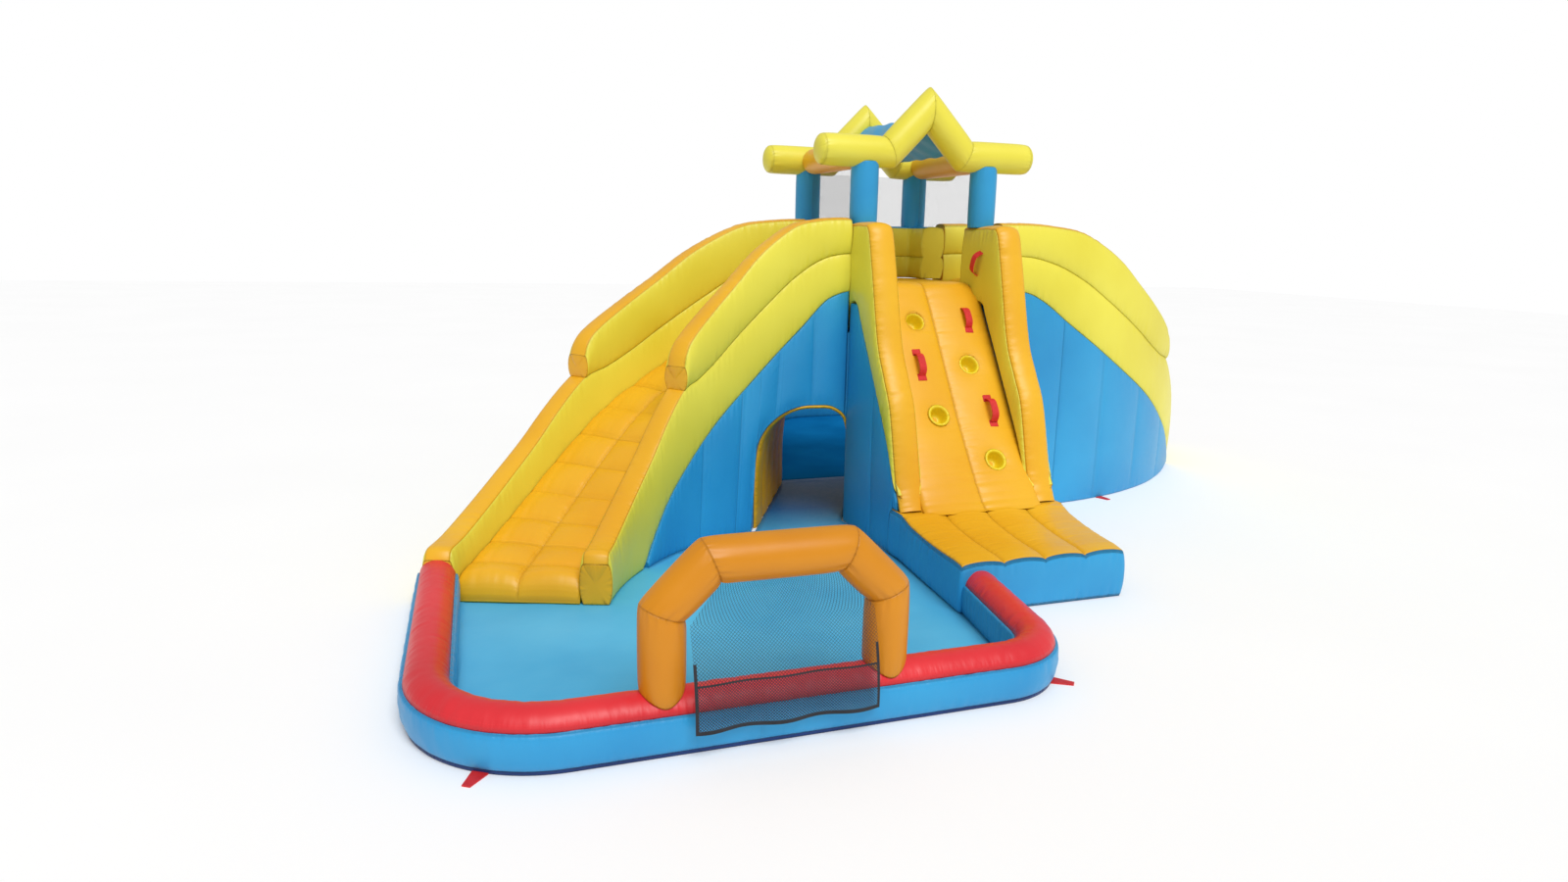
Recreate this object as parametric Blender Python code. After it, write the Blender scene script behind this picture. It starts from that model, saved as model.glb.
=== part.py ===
"""Inflatable water slide: a roofed tower with two curved slides, a climbing wall, two pools and a goal.

Metres, +Z up, the origin at the bottom centre of the whole object's bounding box. It is drawn about
the point on the ground under the middle of the tower, +X to the right along the tower's front and
+Y to the back, and moved as a whole at the end. The right slide is the left one turned half a turn
about the tower, with a longer straight run.
"""
import math

import bmesh
import bpy
import numpy as np
from mathutils import Matrix, Vector

# Clearances and cutting
GAP = 0.0003
OVERRUN = 0.02

# Tower
TOWER_HALF_WIDTH = 0.52
POST_SPACING = 0.82
POST_Y = 0.475
POST_RADIUS = 0.085
DECK_HEIGHT = 1.50
WALL_RISE = 0.36
DECK_THICKNESS = 0.12
DECK_CROWN = 0.012
BACK_WALL_THICKNESS = 0.18
BACK_LOWER_TUBE_HEIGHT = 0.15
FRONT_PANEL_DROP = 0.30
PANEL_THICKNESS = 0.13

# Roof
BEAM_RADIUS = 0.095
SIDE_BEAM_RADIUS = 0.085
BEAM_RISE = 0.424
BEAM_HALF_LENGTH = 0.73
BEAM_VALLEY_X = 0.26
ROOF_RISE = 0.265
CANOPY_THICKNESS = 0.012
CANOPY_HALF_WIDTH = 0.25
CANOPY_SAG = 0.025
NET_THICKNESS = 0.006
NET_STRAND = 0.010
NET_COLUMNS = 6
NET_ROWS = 3

# Slides
SLIDE_AXIS_Y = -0.115
SLIDE_BED_WIDTH = 0.60
SLIDE_WALL_THICKNESS = 0.157
SLIDE_BEND_RADIUS = 2.06
SLIDE_BEND_ANGLE = math.radians(70.0)
LEFT_SLIDE_RUN = 0.144
RIGHT_SLIDE_RUN = 0.33
SLIDE_BED_THICKNESS = 0.13
BED_CHANNEL_DEPTH = 0.026
TUBE_GROOVE = 0.018
BULGE_SHARE = 0.32
PANEL_SEAM_DEPTH = 0.012
UPPER_STATIONS = 14
LOWER_STATIONS = 13
SEAM_EVERY = 4
CHANNEL_EVERY = 3
# How full a pad is between its seams: the power of the sine that shapes it
PAD_FULLNESS = 0.5

# Heights along a slide, as (share of the bend, share of the deck height)
TOP_SHARES = ((-0.20, 1.250), (0.03, 1.247), (0.10, 1.227), (0.171, 1.17), (0.229, 1.11),
              (0.314, 1.00), (0.40, 0.90), (0.486, 0.80), (0.52, 0.753))
TUBE_SEAM_SHARES = ((-0.20, 1.11), (0.0, 1.103), (0.03, 1.087), (0.11, 1.02), (0.20, 0.92),
                    (0.314, 0.793), (0.40, 0.70), (0.46, 0.65), (0.52, 0.615), (0.543, 0.585), (0.60, 0.50),
                    (0.66, 0.407), (0.75, 0.303), (0.85, 0.22), (0.93, 0.18), (1.0, 0.172))
WALL_FOOT_SHARES = ((-0.20, 0.973), (0.0, 0.933), (0.08, 0.827), (0.17, 0.717), (0.26, 0.61),
                    (0.39, 0.467), (0.50, 0.333), (0.60, 0.207), (0.68, 0.08), (0.73, 0.0), (1.0, 0.0))
BED_SHARES = ((-0.20, 1.0), (0.0, 0.985), (0.08, 0.92), (0.244, 0.735), (0.357, 0.615),
              (0.467, 0.51), (0.60, 0.355), (0.739, 0.21), (0.857, 0.13), (1.0, 0.09))
SHOULDER_SHARE = 0.52
PANEL_LEAST_HEIGHT = 0.045
PANEL_SHOULDER_SHARE = 0.86

# Doorway and tunnel
DOOR_LEFT_X = -1.11
DOOR_RIGHT_X = -0.48
DOOR_SPRING_HEIGHT = 0.44
DOOR_HEIGHT = 0.755
DOOR_CORNER_SHARES = ((0.015, 0.0), (0.04, 0.30), (0.12, 0.60), (0.26, 0.84), (0.44, 0.98), (0.62, 1.0),
                      (0.80, 0.96), (0.92, 0.80), (0.985, 0.45), (0.99, 0.0))
LINER_THICKNESS = 0.025
TUNNEL_LEAN_SHARE = 0.51

# Climbing wall
CLIMB_WALL_THICKNESS = 0.18
CLIMB_TOP_Y = -0.52
CLIMB_FOOT_Y = -1.40
CLIMB_FOOT_HEIGHT = 0.27
CLIMB_BED_DEPTH = 0.14
CLIMB_CROWN = 0.022
CLIMB_SIDE_THICKNESS = 0.13
CLIMB_SIDE_DROP = 0.12
# A side wall's front edge, as (share of the reach forward, share of the wall's top height)
CLIMB_FRONT_SHARES = ((0.0, 1.0), (0.30, 1.0), (0.40, 0.985), (0.47, 0.87), (0.588, 0.64), (0.69, 0.535),
                      (0.784, 0.441), (0.887, 0.242))
CLIMB_TIP_SHARE = (0.94, 0.175)
CLIMB_BEND_SHARE = 0.27
CLIMB_ROUNDING_SHARE = 0.05
CLIMB_CENTRE_SHARE = 0.33
CLIMB_FLAT_SHARE = 0.6
CLIMB_COLUMNS = 12
POCKET_RADIUS = 0.055
POCKET_DEPTH = 0.075
POCKET_SKIN = 0.005
POCKET_TAPER_SHARE = 0.72
# Pockets and handles, as (across from the centre, down the bed), shares of the half width and the length
POCKET_SHARES = ((-0.37, 0.18), (0.50, 0.38), (-0.37, 0.60), (0.50, 0.80))
HANDLE_SHARES = ((0.66, 0.17), (-0.52, 0.38), (0.66, 0.59))
HANDLE_LENGTH = 0.15
HANDLE_WIDTH = 0.045
HANDLE_STRAP = 0.005
HANDLE_RISE = 0.045
SIDE_HANDLE_Y = -0.60
SIDE_HANDLE_Z = 1.63
SIDE_HANDLE_TILT = math.radians(20.0)

# Landing mat
MAT_FRONT_Y = -2.20
MAT_HEIGHT = 0.2695
MAT_FRONT_LEFT_X = -0.60
MAT_FRONT_RIGHT_X = 0.33
MAT_CHANNEL_DEPTH = 0.02
MAT_SAG = 0.02
MAT_CHANNELS = 4

# Pools
POOL_WALL_WIDTH = 0.20
POOL_WALL_HEIGHT = 0.15
POOL_RIM_WIDTH = 0.172
POOL_RIM_HEIGHT = 0.072
POOL_RIM_BELLY_SHARE = 0.4
POOL_RIM_TOP_SHARE = 0.72
POOL_FLOOR_THICKNESS = 0.008
POOL_FOOT_SHARE = 0.8
POOL_SEAM_SHARE = 0.25
FRONT_POOL_Y = -3.01
FRONT_CORNER_X = -3.04
SIDE_WALL_X = -0.50
SIDE_WALL_CORNER_X = -0.64
OUTER_CORNER_RADIUS = 0.45
INNER_CORNER_RADIUS = 0.28
REAR_POOL_Y = 3.10
REAR_CORNER_X = 3.20
REAR_START_X = -0.80
REAR_TURN_X = 0.25
REAR_TURN_RADIUS = 0.60
ARC_CHORD = 0.11

# Goal
GOAL_TUBE_RADIUS = 0.085
GOAL_CENTRE_X = -1.82
GOAL_HALF_WIDTH = 0.425
GOAL_HEIGHT = 0.670
GOAL_SHOULDER_HEIGHT = 0.50
GOAL_SHOULDER_HALF_WIDTH = 0.255
GOAL_NET_CLEARANCE = 0.001
GOAL_NET_OUT = 0.05
GOAL_NET_FOOT = 0.06
GOAL_NET_COLUMNS = 8
GOAL_NET_ROWS = 6

# Small parts
TAB_LENGTH = 0.09
TAB_WIDTH = 0.06
TAB_TIP_WIDTH = 0.03
TAB_THICKNESS = 0.005
SIDE_TAB_X = 1.30
HOSE_RADIUS = 0.007
HOSE_START_Y = 0.13
HOSE_END_Y = -0.26
HOSE_TURN = math.radians(115.0)
HOSE_POINTS = 28
SLEEVE_RADIUS = 0.09
SLEEVE_LENGTH = 0.25
SLEEVE_SKIN = 0.008
SLEEVE_STATION = 6

# Colours as red, green, blue, with roughness
FINISHES = {
    "yellow": ((0.78, 0.70, 0.09), 0.42),
    "orange": ((0.93, 0.45, 0.035), 0.42),
    "blue": ((0.065, 0.37, 0.66), 0.40),
    "pale_blue": ((0.13, 0.45, 0.70), 0.42),
    "red": ((0.75, 0.045, 0.055), 0.42),
    "navy": ((0.02, 0.025, 0.07), 0.75),
    "white": ((0.80, 0.78, 0.80), 0.50),
}

# Heights above the ground
WALL_TOP = DECK_HEIGHT + WALL_RISE
BEAM_HEIGHT = WALL_TOP + BEAM_RISE
BACK_SEAM_HEIGHT = DECK_HEIGHT + BACK_LOWER_TUBE_HEIGHT
FRONT_PANEL_HEIGHT = DECK_HEIGHT - FRONT_PANEL_DROP
CLIMB_SIDE_TOP = DECK_HEIGHT - CLIMB_SIDE_DROP

# Where the slides' side walls, the panels, the climbing wall and the side beams lie
WALL_OFFSET = (SLIDE_BED_WIDTH + SLIDE_WALL_THICKNESS) / 2
FRONT_PLANE_Y = SLIDE_AXIS_Y - WALL_OFFSET - PANEL_THICKNESS / 2
BEHIND_SLIDE_Y = SLIDE_AXIS_Y + WALL_OFFSET + PANEL_THICKNESS / 2
REAR_PLANE_Y = POST_Y + PANEL_THICKNESS / 2
CLIMB_BACK_Y = CLIMB_TOP_Y + CLIMB_BED_DEPTH
MAT_BACK_Y = CLIMB_FOOT_Y + CLIMB_BED_DEPTH
SIDE_BEAM_Z = BEAM_HEIGHT - (BEAM_RADIUS - SIDE_BEAM_RADIUS)


def clear_scene():
    for item in list(bpy.data.objects):
        bpy.data.objects.remove(item, do_unlink=True)


def finish(name):
    """One Principled material for each colour of fabric."""
    known = bpy.data.materials.get(name)
    if known:
        return known
    colour, roughness = FINISHES[name]
    material = bpy.data.materials.new(name)
    material.use_nodes = True
    shader = material.node_tree.nodes["Principled BSDF"]
    shader.inputs["Base Color"].default_value = (*colour, 1.0)
    shader.inputs["Roughness"].default_value = roughness
    shader.inputs["Metallic"].default_value = 0.0
    return material


def add_mesh(name, points, faces, colour):
    """An object from points and faces, its faces turned outwards and its round parts smooth."""
    mesh = bpy.data.meshes.new(name)
    mesh.from_pydata([tuple(map(float, p)) for p in points], [], faces)
    work = bmesh.new()
    work.from_mesh(mesh)
    loose = [v for v in work.verts if not v.link_faces]
    bmesh.ops.delete(work, geom=loose, context="VERTS")
    bmesh.ops.recalc_face_normals(work, faces=work.faces)
    work.to_mesh(mesh)
    work.free()
    mesh.shade_smooth()
    mesh.set_sharp_from_angle(angle=math.radians(40.0))
    mesh.materials.append(finish(colour))
    item = bpy.data.objects.new(name, mesh)
    bpy.context.scene.collection.objects.link(item)
    return item


def loft(name, rings, colour):
    """A skin over equal rings of points, with a flat face on each end.

    The triangles of a section's second half mirror those of its first, so that the top of one swept
    piece and the foot of the next, over the same stations, bend along the same diagonals.
    """
    rings = np.asarray(rings, float)
    count, sides = rings.shape[:2]
    faces = []
    for i in range(count - 1):
        for j in range(sides):
            a = i * sides + j
            b = i * sides + (j + 1) % sides
            if j < sides // 2:
                faces += [(a, b, b + sides), (a, b + sides, a + sides)]
            else:
                faces += [(a, b, a + sides), (b, b + sides, a + sides)]
    faces.append(tuple(range(sides)))
    faces.append(tuple((count - 1) * sides + j for j in range(sides)))
    return add_mesh(name, rings.reshape(-1, 3), faces, colour)


def slab(name, top, bottom, colour, is_hole=None):
    """A closed slab between two equal grids of points, open where is_hole says so."""
    top, bottom = np.asarray(top, float), np.asarray(bottom, float)
    rows, cols = top.shape[0] - 1, top.shape[1] - 1
    half = (rows + 1) * (cols + 1)
    cells = [(i, j) for i in range(rows) for j in range(cols) if not (is_hole and is_hole(i, j))]
    solid = set(cells)
    faces = []
    for i, j in cells:
        a = i * (cols + 1) + j
        corners = (a, a + 1, a + cols + 2, a + cols + 1)
        faces.append(corners)
        faces.append(tuple(half + v for v in reversed(corners)))
        for k, beside in enumerate(((i - 1, j), (i, j + 1), (i + 1, j), (i, j - 1))):
            if beside not in solid:
                first, second = corners[k], corners[(k + 1) % 4]
                faces.append((second, first, half + first, half + second))
    return add_mesh(name, np.concatenate([top.reshape(-1, 3), bottom.reshape(-1, 3)]), faces, colour)


def prism(name, outline, low, high, colour):
    """An upright prism over an outline in plan."""
    return loft(name, [[(x, y, z) for x, y in outline] for z in (low, high)], colour)


def cut(item, cutter):
    """Cuts a helper solid out of an object and removes the helper."""
    step = item.modifiers.new("cut", "BOOLEAN")
    step.operation = "DIFFERENCE"
    step.solver = "EXACT"
    step.object = cutter
    graph = bpy.context.evaluated_depsgraph_get()
    mesh = bpy.data.meshes.new_from_object(item.evaluated_get(graph))
    item.modifiers.clear()
    old, spare = item.data, cutter.data
    item.data = mesh
    bpy.data.objects.remove(cutter, do_unlink=True)
    bpy.data.meshes.remove(old)
    bpy.data.meshes.remove(spare)
    return item


def eased(table, where):
    """A height read from a table of shares, eased between its points."""
    xs = np.array([p[0] for p in table])
    ys = np.array([p[1] for p in table])
    slopes = np.gradient(ys, xs)
    i = int(np.clip(np.searchsorted(xs, where) - 1, 0, len(xs) - 2))
    h = xs[i + 1] - xs[i]
    t = min(max((where - xs[i]) / h, 0.0), 1.0)
    start = (1 + 2 * t) * (1 - t) ** 2 * ys[i] + t * (1 - t) ** 2 * h * slopes[i]
    return float(start + t ** 2 * (3 - 2 * t) * ys[i + 1] + t ** 2 * (t - 1) * h * slopes[i + 1])


def rounded_path(corners, radii):
    """Points of a plan path through corners, each inner corner an arc of its own radius."""
    points = [Vector(corners[0])]
    for before, corner, after, radius in zip(corners, corners[1:], corners[2:], radii):
        corner = Vector(corner)
        to_before = (Vector(before) - corner).normalized()
        to_after = (Vector(after) - corner).normalized()
        half = to_before.angle(to_after) / 2
        centre = corner + (to_before + to_after).normalized() * (radius / math.sin(half))
        first = corner + to_before * (radius / math.tan(half)) - centre
        last = corner + to_after * (radius / math.tan(half)) - centre
        turn = math.atan2(first.x * last.y - first.y * last.x, first.dot(last))
        count = max(3, round(abs(turn) * radius / ARC_CHORD))
        for k in range(count + 1):
            points.append(centre + Matrix.Rotation(turn * k / count, 2) @ first)
    points.append(Vector(corners[-1]))
    return np.array([tuple(p) for p in points])


def left_normals(path, first=None, last=None):
    """Left-hand normals of a plan path, lengthened at its bends so that a swept wall keeps its width."""
    units = np.diff(path, axis=0)
    units /= np.linalg.norm(units, axis=1)[:, None]
    sides = np.stack([-units[:, 1], units[:, 0]], axis=1)
    middle = sides[:-1] + sides[1:]
    middle *= (2.0 / (middle ** 2).sum(axis=1))[:, None]
    normals = np.vstack([sides[:1], middle, sides[-1:]])
    for index, given in ((0, first), (-1, last)):
        if given is not None:
            given = np.asarray(given, float) / np.linalg.norm(given)
            normals[index] = given / given.dot(sides[index])
    return normals


def sweep(name, path, normals, section, colour):
    """A wall swept along a plan path; the section is (across, height) pairs."""
    rings = []
    for place, normal in zip(path, normals):
        rings.append([(*(place + normal * across), height) for across, height in section])
    return loft(name, rings, colour)


def tube_section(half, low, high, waist):
    """Across and height pairs of one padded tube: flat top and foot, and bulging sides."""
    rise = high - low
    belly, shoulder = low + BULGE_SHARE * rise, high - BULGE_SHARE * rise
    return [(-waist, low), (-half, belly), (-half, shoulder), (-waist, high),
            (waist, high), (half, shoulder), (half, belly), (waist, low)]


def tube_along(name, centres, radius, colour, sides=16):
    """A round tube mitred along a run of points in a plane with a constant Y."""
    centres = [Vector(c) for c in centres]
    steps = [(b - a).normalized() for a, b in zip(centres, centres[1:])]
    depth = Vector((0.0, 1.0, 0.0))
    rings = []
    for i, centre in enumerate(centres):
        before, after = steps[max(i - 1, 0)], steps[min(i, len(steps) - 1)]
        ahead = (before + after).normalized()
        across = ahead.cross(depth) / ahead.dot(after)
        ring = []
        for k in range(sides):
            turn = 2 * math.pi * k / sides
            ring.append(centre + depth * (radius * math.cos(turn)) + across * (radius * math.sin(turn)))
        rings.append(ring)
    return loft(name, rings, colour)


def turned_solid(name, frame, profile, colour, sides=16):
    """A solid turned about a frame's Z, from (radius, height) pairs."""
    rings = []
    for radius, height in profile:
        ring = []
        for k in range(sides):
            turn = 2 * math.pi * k / sides
            ring.append(frame @ Vector((radius * math.cos(turn), radius * math.sin(turn), height)))
        rings.append(ring)
    return loft(name, rings, colour)


class Slide:
    """The plan of one slide: a straight run from the tower's side, then an arc."""

    def __init__(self, side):
        self.side = side
        self.sign = 1.0 if side == "left" else -1.0
        self.run = LEFT_SLIDE_RUN if side == "left" else RIGHT_SLIDE_RUN
        self.bend = SLIDE_BEND_RADIUS * SLIDE_BEND_ANGLE
        start = self.share_at(GAP)
        upper = [start + (SHOULDER_SHARE - start) * k / UPPER_STATIONS for k in range(UPPER_STATIONS)]
        rest = 1 - SHOULDER_SHARE
        lower = [SHOULDER_SHARE + rest * k / LOWER_STATIONS for k in range(LOWER_STATIONS + 1)]
        self.stations = upper + lower

    def share_at(self, distance):
        """The share of the bend at a distance from the tower's side."""
        return (distance - self.run) / self.bend

    def point(self, share, across):
        """A plan place; across is positive away from the bend's centre."""
        angle = max(share, 0.0) * SLIDE_BEND_ANGLE
        straight = min(share, 0.0) * self.bend
        radius = SLIDE_BEND_RADIUS + across
        x = TOWER_HALF_WIDTH + self.run + straight + radius * math.sin(angle)
        y = radius * math.cos(angle) - SLIDE_BEND_RADIUS
        return (-self.sign * x, SLIDE_AXIS_Y + self.sign * y)

    def place(self, share, section, offset):
        """A section's points at a share of the bend."""
        ring = []
        for across, height in section:
            x, y = self.point(share, offset + across)
            ring.append((x, y, height))
        return ring

    def foot(self, share):
        """The underside of a side wall, never lower than the pool floor."""
        return max(eased(WALL_FOOT_SHARES, share) * DECK_HEIGHT, POOL_FLOOR_THICKNESS + GAP)


def make_slide_wall(slide, where, offset):
    """One side wall: a lower tube all the way and an upper tube as far as the shoulder."""
    half = SLIDE_WALL_THICKNESS / 2
    waist = half - TUBE_GROOVE
    lower, upper = [], []
    for share in slide.stations:
        seam = eased(TUBE_SEAM_SHARES, share) * DECK_HEIGHT
        lower.append(slide.place(share, tube_section(half, slide.foot(share), seam, waist), offset))
        if share <= SHOULDER_SHARE:
            top = eased(TOP_SHARES, share) * DECK_HEIGHT
            upper.append(slide.place(share, tube_section(half, seam + GAP, top, waist), offset))
    loft(f"{slide.side}_slide_{where}_lower_tube", lower, "yellow")
    loft(f"{slide.side}_slide_{where}_upper_tube", upper, "yellow")


def panel_seam(index):
    """Whether an upright seam lies at a station."""
    return index % SEAM_EVERY == SEAM_EVERY // 2


def make_slide_panel(slide, where, offset):
    """The upright blue panel under a side wall, drawn in at upright seams."""
    rings = []
    for index, share in enumerate(slide.stations):
        top = slide.foot(share) - GAP
        if top < PANEL_LEAST_HEIGHT:
            break
        half = PANEL_THICKNESS / 2 - PANEL_SEAM_DEPTH * panel_seam(index)
        waist = SLIDE_WALL_THICKNESS / 2 - TUBE_GROOVE
        shoulder = top * PANEL_SHOULDER_SHARE
        section = [(-half, 0.0), (-half, shoulder), (-waist, top)]
        section += [(-across, height) for across, height in reversed(section)]
        rings.append(slide.place(share, section, offset))
    return loft(f"{slide.side}_slide_{where}_panel", rings, "blue")


def make_slide_bed(slide):
    """The quilted bed: two columns of pads between cross channels."""
    half = SLIDE_BED_WIDTH / 2 - GAP
    cols = 8
    top, bottom = [], []
    for index, share in enumerate(slide.stations):
        height = eased(BED_SHARES, share) * DECK_HEIGHT
        under = max(height - SLIDE_BED_THICKNESS, POOL_FLOOR_THICKNESS + GAP)
        ridge = 0.0 if index % CHANNEL_EVERY == 0 else 1.0
        upper_row, lower_row = [], []
        for j in range(cols + 1):
            across = half * (2 * j / cols - 1)
            column = abs(math.sin(2 * math.pi * j / cols)) ** PAD_FULLNESS
            lift = BED_CHANNEL_DEPTH * (ridge * column - 1)
            x, y = slide.point(share, across)
            upper_row.append((x, y, height + lift))
            lower_row.append((x, y, under))
        top.append(upper_row)
        bottom.append(lower_row)
    return slab(f"{slide.side}_slide_bed", top, bottom, "orange")


def make_slide(side):
    """One slide; its inner wall is on the side that the slide bends to."""
    slide = Slide(side)
    make_slide_bed(slide)
    for where, offset in (("inner", -WALL_OFFSET), ("outer", WALL_OFFSET)):
        make_slide_wall(slide, where, offset)
        make_slide_panel(slide, where, offset)


def make_tower():
    """The deck, the back wall that turns forward at its ends, and the panels under them."""
    half = TOWER_HALF_WIDTH - GAP
    back = POST_Y + BACK_WALL_THICKNESS / 2
    front = CLIMB_BACK_Y + GAP
    under = DECK_HEIGHT - DECK_THICKNESS
    cells = 6
    top, bottom = [], []
    for i in range(cells + 1):
        upper_row, lower_row = [], []
        for j in range(cells + 1):
            x, y = half * (2 * j / cells - 1), front + (back - front) * i / cells
            swell = math.sin(math.pi * i / cells) * math.sin(math.pi * j / cells)
            upper_row.append((x, y, DECK_HEIGHT - DECK_CROWN * (1 - swell)))
            lower_row.append((x, y, under))
        top.append(upper_row)
        bottom.append(lower_row)
    slab("tower_deck", top, bottom, "orange")
    half_wall = BACK_WALL_THICKNESS / 2
    reach = TOWER_HALF_WIDTH - half_wall
    wing = SLIDE_AXIS_Y + SLIDE_BED_WIDTH / 2 + GAP
    path = np.array([(-reach, wing), (-reach, POST_Y), (reach, POST_Y), (reach, wing)])
    waist = half_wall - TUBE_GROOVE
    lower = tube_section(half_wall, DECK_HEIGHT + GAP, BACK_SEAM_HEIGHT, waist)
    upper = tube_section(half_wall, BACK_SEAM_HEIGHT, WALL_TOP, waist)
    sweep("tower_back_wall", path, left_normals(path), lower[:3] + upper + lower[5:], "yellow")
    for name, y, high in (("back", REAR_PLANE_Y - PANEL_THICKNESS, under - GAP),
                          ("front", FRONT_PLANE_Y, FRONT_PANEL_HEIGHT)):
        outline = [(-half, y), (half, y), (half, y + PANEL_THICKNESS), (-half, y + PANEL_THICKNESS)]
        prism(f"tower_{name}_panel", outline, 0.0, high, "blue")


def arch_ring(inset, y, low=0.0):
    """The doorway's outline at a place along Y; it leans to the right towards the back."""
    shift = TUNNEL_LEAN_SHARE * (y - FRONT_PLANE_Y)
    left, right = DOOR_LEFT_X + inset + shift, DOOR_RIGHT_X - inset + shift
    rise = DOOR_HEIGHT - inset - DOOR_SPRING_HEIGHT
    ring = [(left, y, low)]
    for across, up in DOOR_CORNER_SHARES:
        ring.append((left + across * (right - left), y, DOOR_SPRING_HEIGHT + up * rise))
    ring.append((right, y, low))
    return ring


def make_tunnel():
    """Cuts the tunnel's way through the panels that it crosses and lines it with an arch of fabric."""
    ends = (FRONT_PLANE_Y - SLIDE_WALL_THICKNESS, REAR_PLANE_Y + OVERRUN)
    for name in ("left_slide_inner", "left_slide_outer", "tower_front", "tower_back"):
        cutter = loft("tunnel_cutter", [arch_ring(0.0, y, -OVERRUN) for y in ends], "blue")
        cut(bpy.data.objects[f"{name}_panel"], cutter)
    rings = []
    for y in (FRONT_PLANE_Y, (FRONT_PLANE_Y + REAR_PLANE_Y) / 2, REAR_PLANE_Y):
        rings.append(arch_ring(GAP * 2, y) + arch_ring(GAP * 2 + LINER_THICKNESS, y)[::-1])
    return loft("tunnel_liner", rings, "orange")


def climb_place(down, lift=0.0):
    """Y and Z on the climbing bed at a share of its length down, lifted square to the slope."""
    run, drop = CLIMB_FOOT_Y - CLIMB_TOP_Y, CLIMB_FOOT_HEIGHT - DECK_HEIGHT
    length = math.hypot(run, drop)
    return CLIMB_TOP_Y + run * down + lift * drop / length, DECK_HEIGHT + drop * down - lift * run / length


def slope_frame(across_share, down, lift=0.0):
    """A frame on the climbing bed: X across, Y up the slope, Z out of it."""
    y, z = climb_place(down, lift)
    up = (Vector((0.0, *climb_place(0.0))) - Vector((0.0, *climb_place(1.0)))).normalized()
    right = Vector((1.0, 0.0, 0.0))
    frame = Matrix((right, up, right.cross(up))).transposed().to_4x4()
    frame.translation = Vector((across_share * (TOWER_HALF_WIDTH - CLIMB_WALL_THICKNESS), y, z))
    return frame


def bed_drop(across_share):
    """How far the climbing bed lies behind its crests, measured along Y, at a share of its half width."""
    shares = np.linspace(-1.0, 1.0, CLIMB_COLUMNS + 1)
    drops = CLIMB_CROWN * (1 - np.abs(np.sin(math.pi * (shares + 1))) ** PAD_FULLNESS)
    return float(np.interp(across_share, shares, drops))


def make_climb_bed():
    """The sloping bed with its centre seam, and the funnel pockets sunk into it."""
    half = TOWER_HALF_WIDTH - CLIMB_WALL_THICKNESS - GAP
    rows, cols = 8, CLIMB_COLUMNS
    top, bottom = [], []
    for i in range(rows + 1):
        upper_row, lower_row = [], []
        for j in range(cols + 1):
            share = 2 * j / cols - 1
            y, z = climb_place(i / rows)
            upper_row.append((half * share, y + bed_drop(share), z))
            lower_row.append((half * share, y + CLIMB_BED_DEPTH, z))
        top.append(upper_row)
        bottom.append(lower_row)
    bed = slab("climbing_bed", top, bottom, "orange")
    wide, skin = POCKET_RADIUS, POCKET_SKIN
    narrow = wide * POCKET_TAPER_SHARE
    for index, (across, down) in enumerate(POCKET_SHARES, start=1):
        frame = slope_frame(across, down)
        seat = [(wide + GAP, OVERRUN), (wide + GAP, -CLIMB_CROWN), (narrow + GAP, -POCKET_DEPTH - GAP)]
        cut(bed, turned_solid("pocket_cutter", frame, seat, "yellow"))
        cup = [(narrow - skin, -POCKET_DEPTH + skin), (wide - skin, -CLIMB_CROWN), (wide - skin, 0.0),
               (wide, 0.0), (wide, -CLIMB_CROWN), (narrow, -POCKET_DEPTH)]
        turned_solid(f"foot_pocket_{index}", frame, cup, "yellow")


def strap_loop(name, frame):
    """A webbing loop standing on its two sewn ends, with its origin between them."""
    count = 12
    half_length = HANDLE_LENGTH / 2
    side = Vector((HANDLE_WIDTH / 2, 0.0, 0.0))
    rings = []
    for k in range(count + 1):
        along = -1 + 2 * k / count
        slope = -4 * along ** 3 * HANDLE_RISE / half_length
        normal = Vector((0.0, -slope, 1.0)).normalized()
        if k in (0, count):
            normal = Vector((0.0, -math.copysign(1.0, slope), 0.0))
        normal *= HANDLE_STRAP / 2
        middle = Vector((0.0, along * half_length, HANDLE_RISE * (1 - along ** 4)))
        outer, inner = middle + normal, middle - normal
        rings.append([inner - side, inner + side, outer + side, outer - side])
    item = loft(name, rings, "red")
    item.matrix_world = frame
    return item


def make_handles():
    """Three loops on the bed and one on the inner face of the right side wall."""
    reach = HANDLE_WIDTH / 2 / (TOWER_HALF_WIDTH - CLIMB_WALL_THICKNESS)
    for index, (across, down) in enumerate(HANDLE_SHARES, start=1):
        drop = min(bed_drop(across + reach * k) for k in np.linspace(-1.0, 1.0, CLIMB_COLUMNS))
        frame = slope_frame(across, down)
        frame.translation += frame.col[2].xyz * (GAP + drop * frame.col[2].y)
        strap_loop(f"climb_handle_{index}", frame)
    out = Vector((-1.0, 0.0, 0.0))
    along = Vector((0.0, -math.sin(SIDE_HANDLE_TILT), math.cos(SIDE_HANDLE_TILT)))
    frame = Matrix((along.cross(out), along, out)).transposed().to_4x4()
    face = TOWER_HALF_WIDTH - CLIMB_WALL_THICKNESS - GAP
    frame.translation = Vector((face, SIDE_HANDLE_Y, SIDE_HANDLE_Z))
    strap_loop("climb_handle_4", frame)


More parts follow.
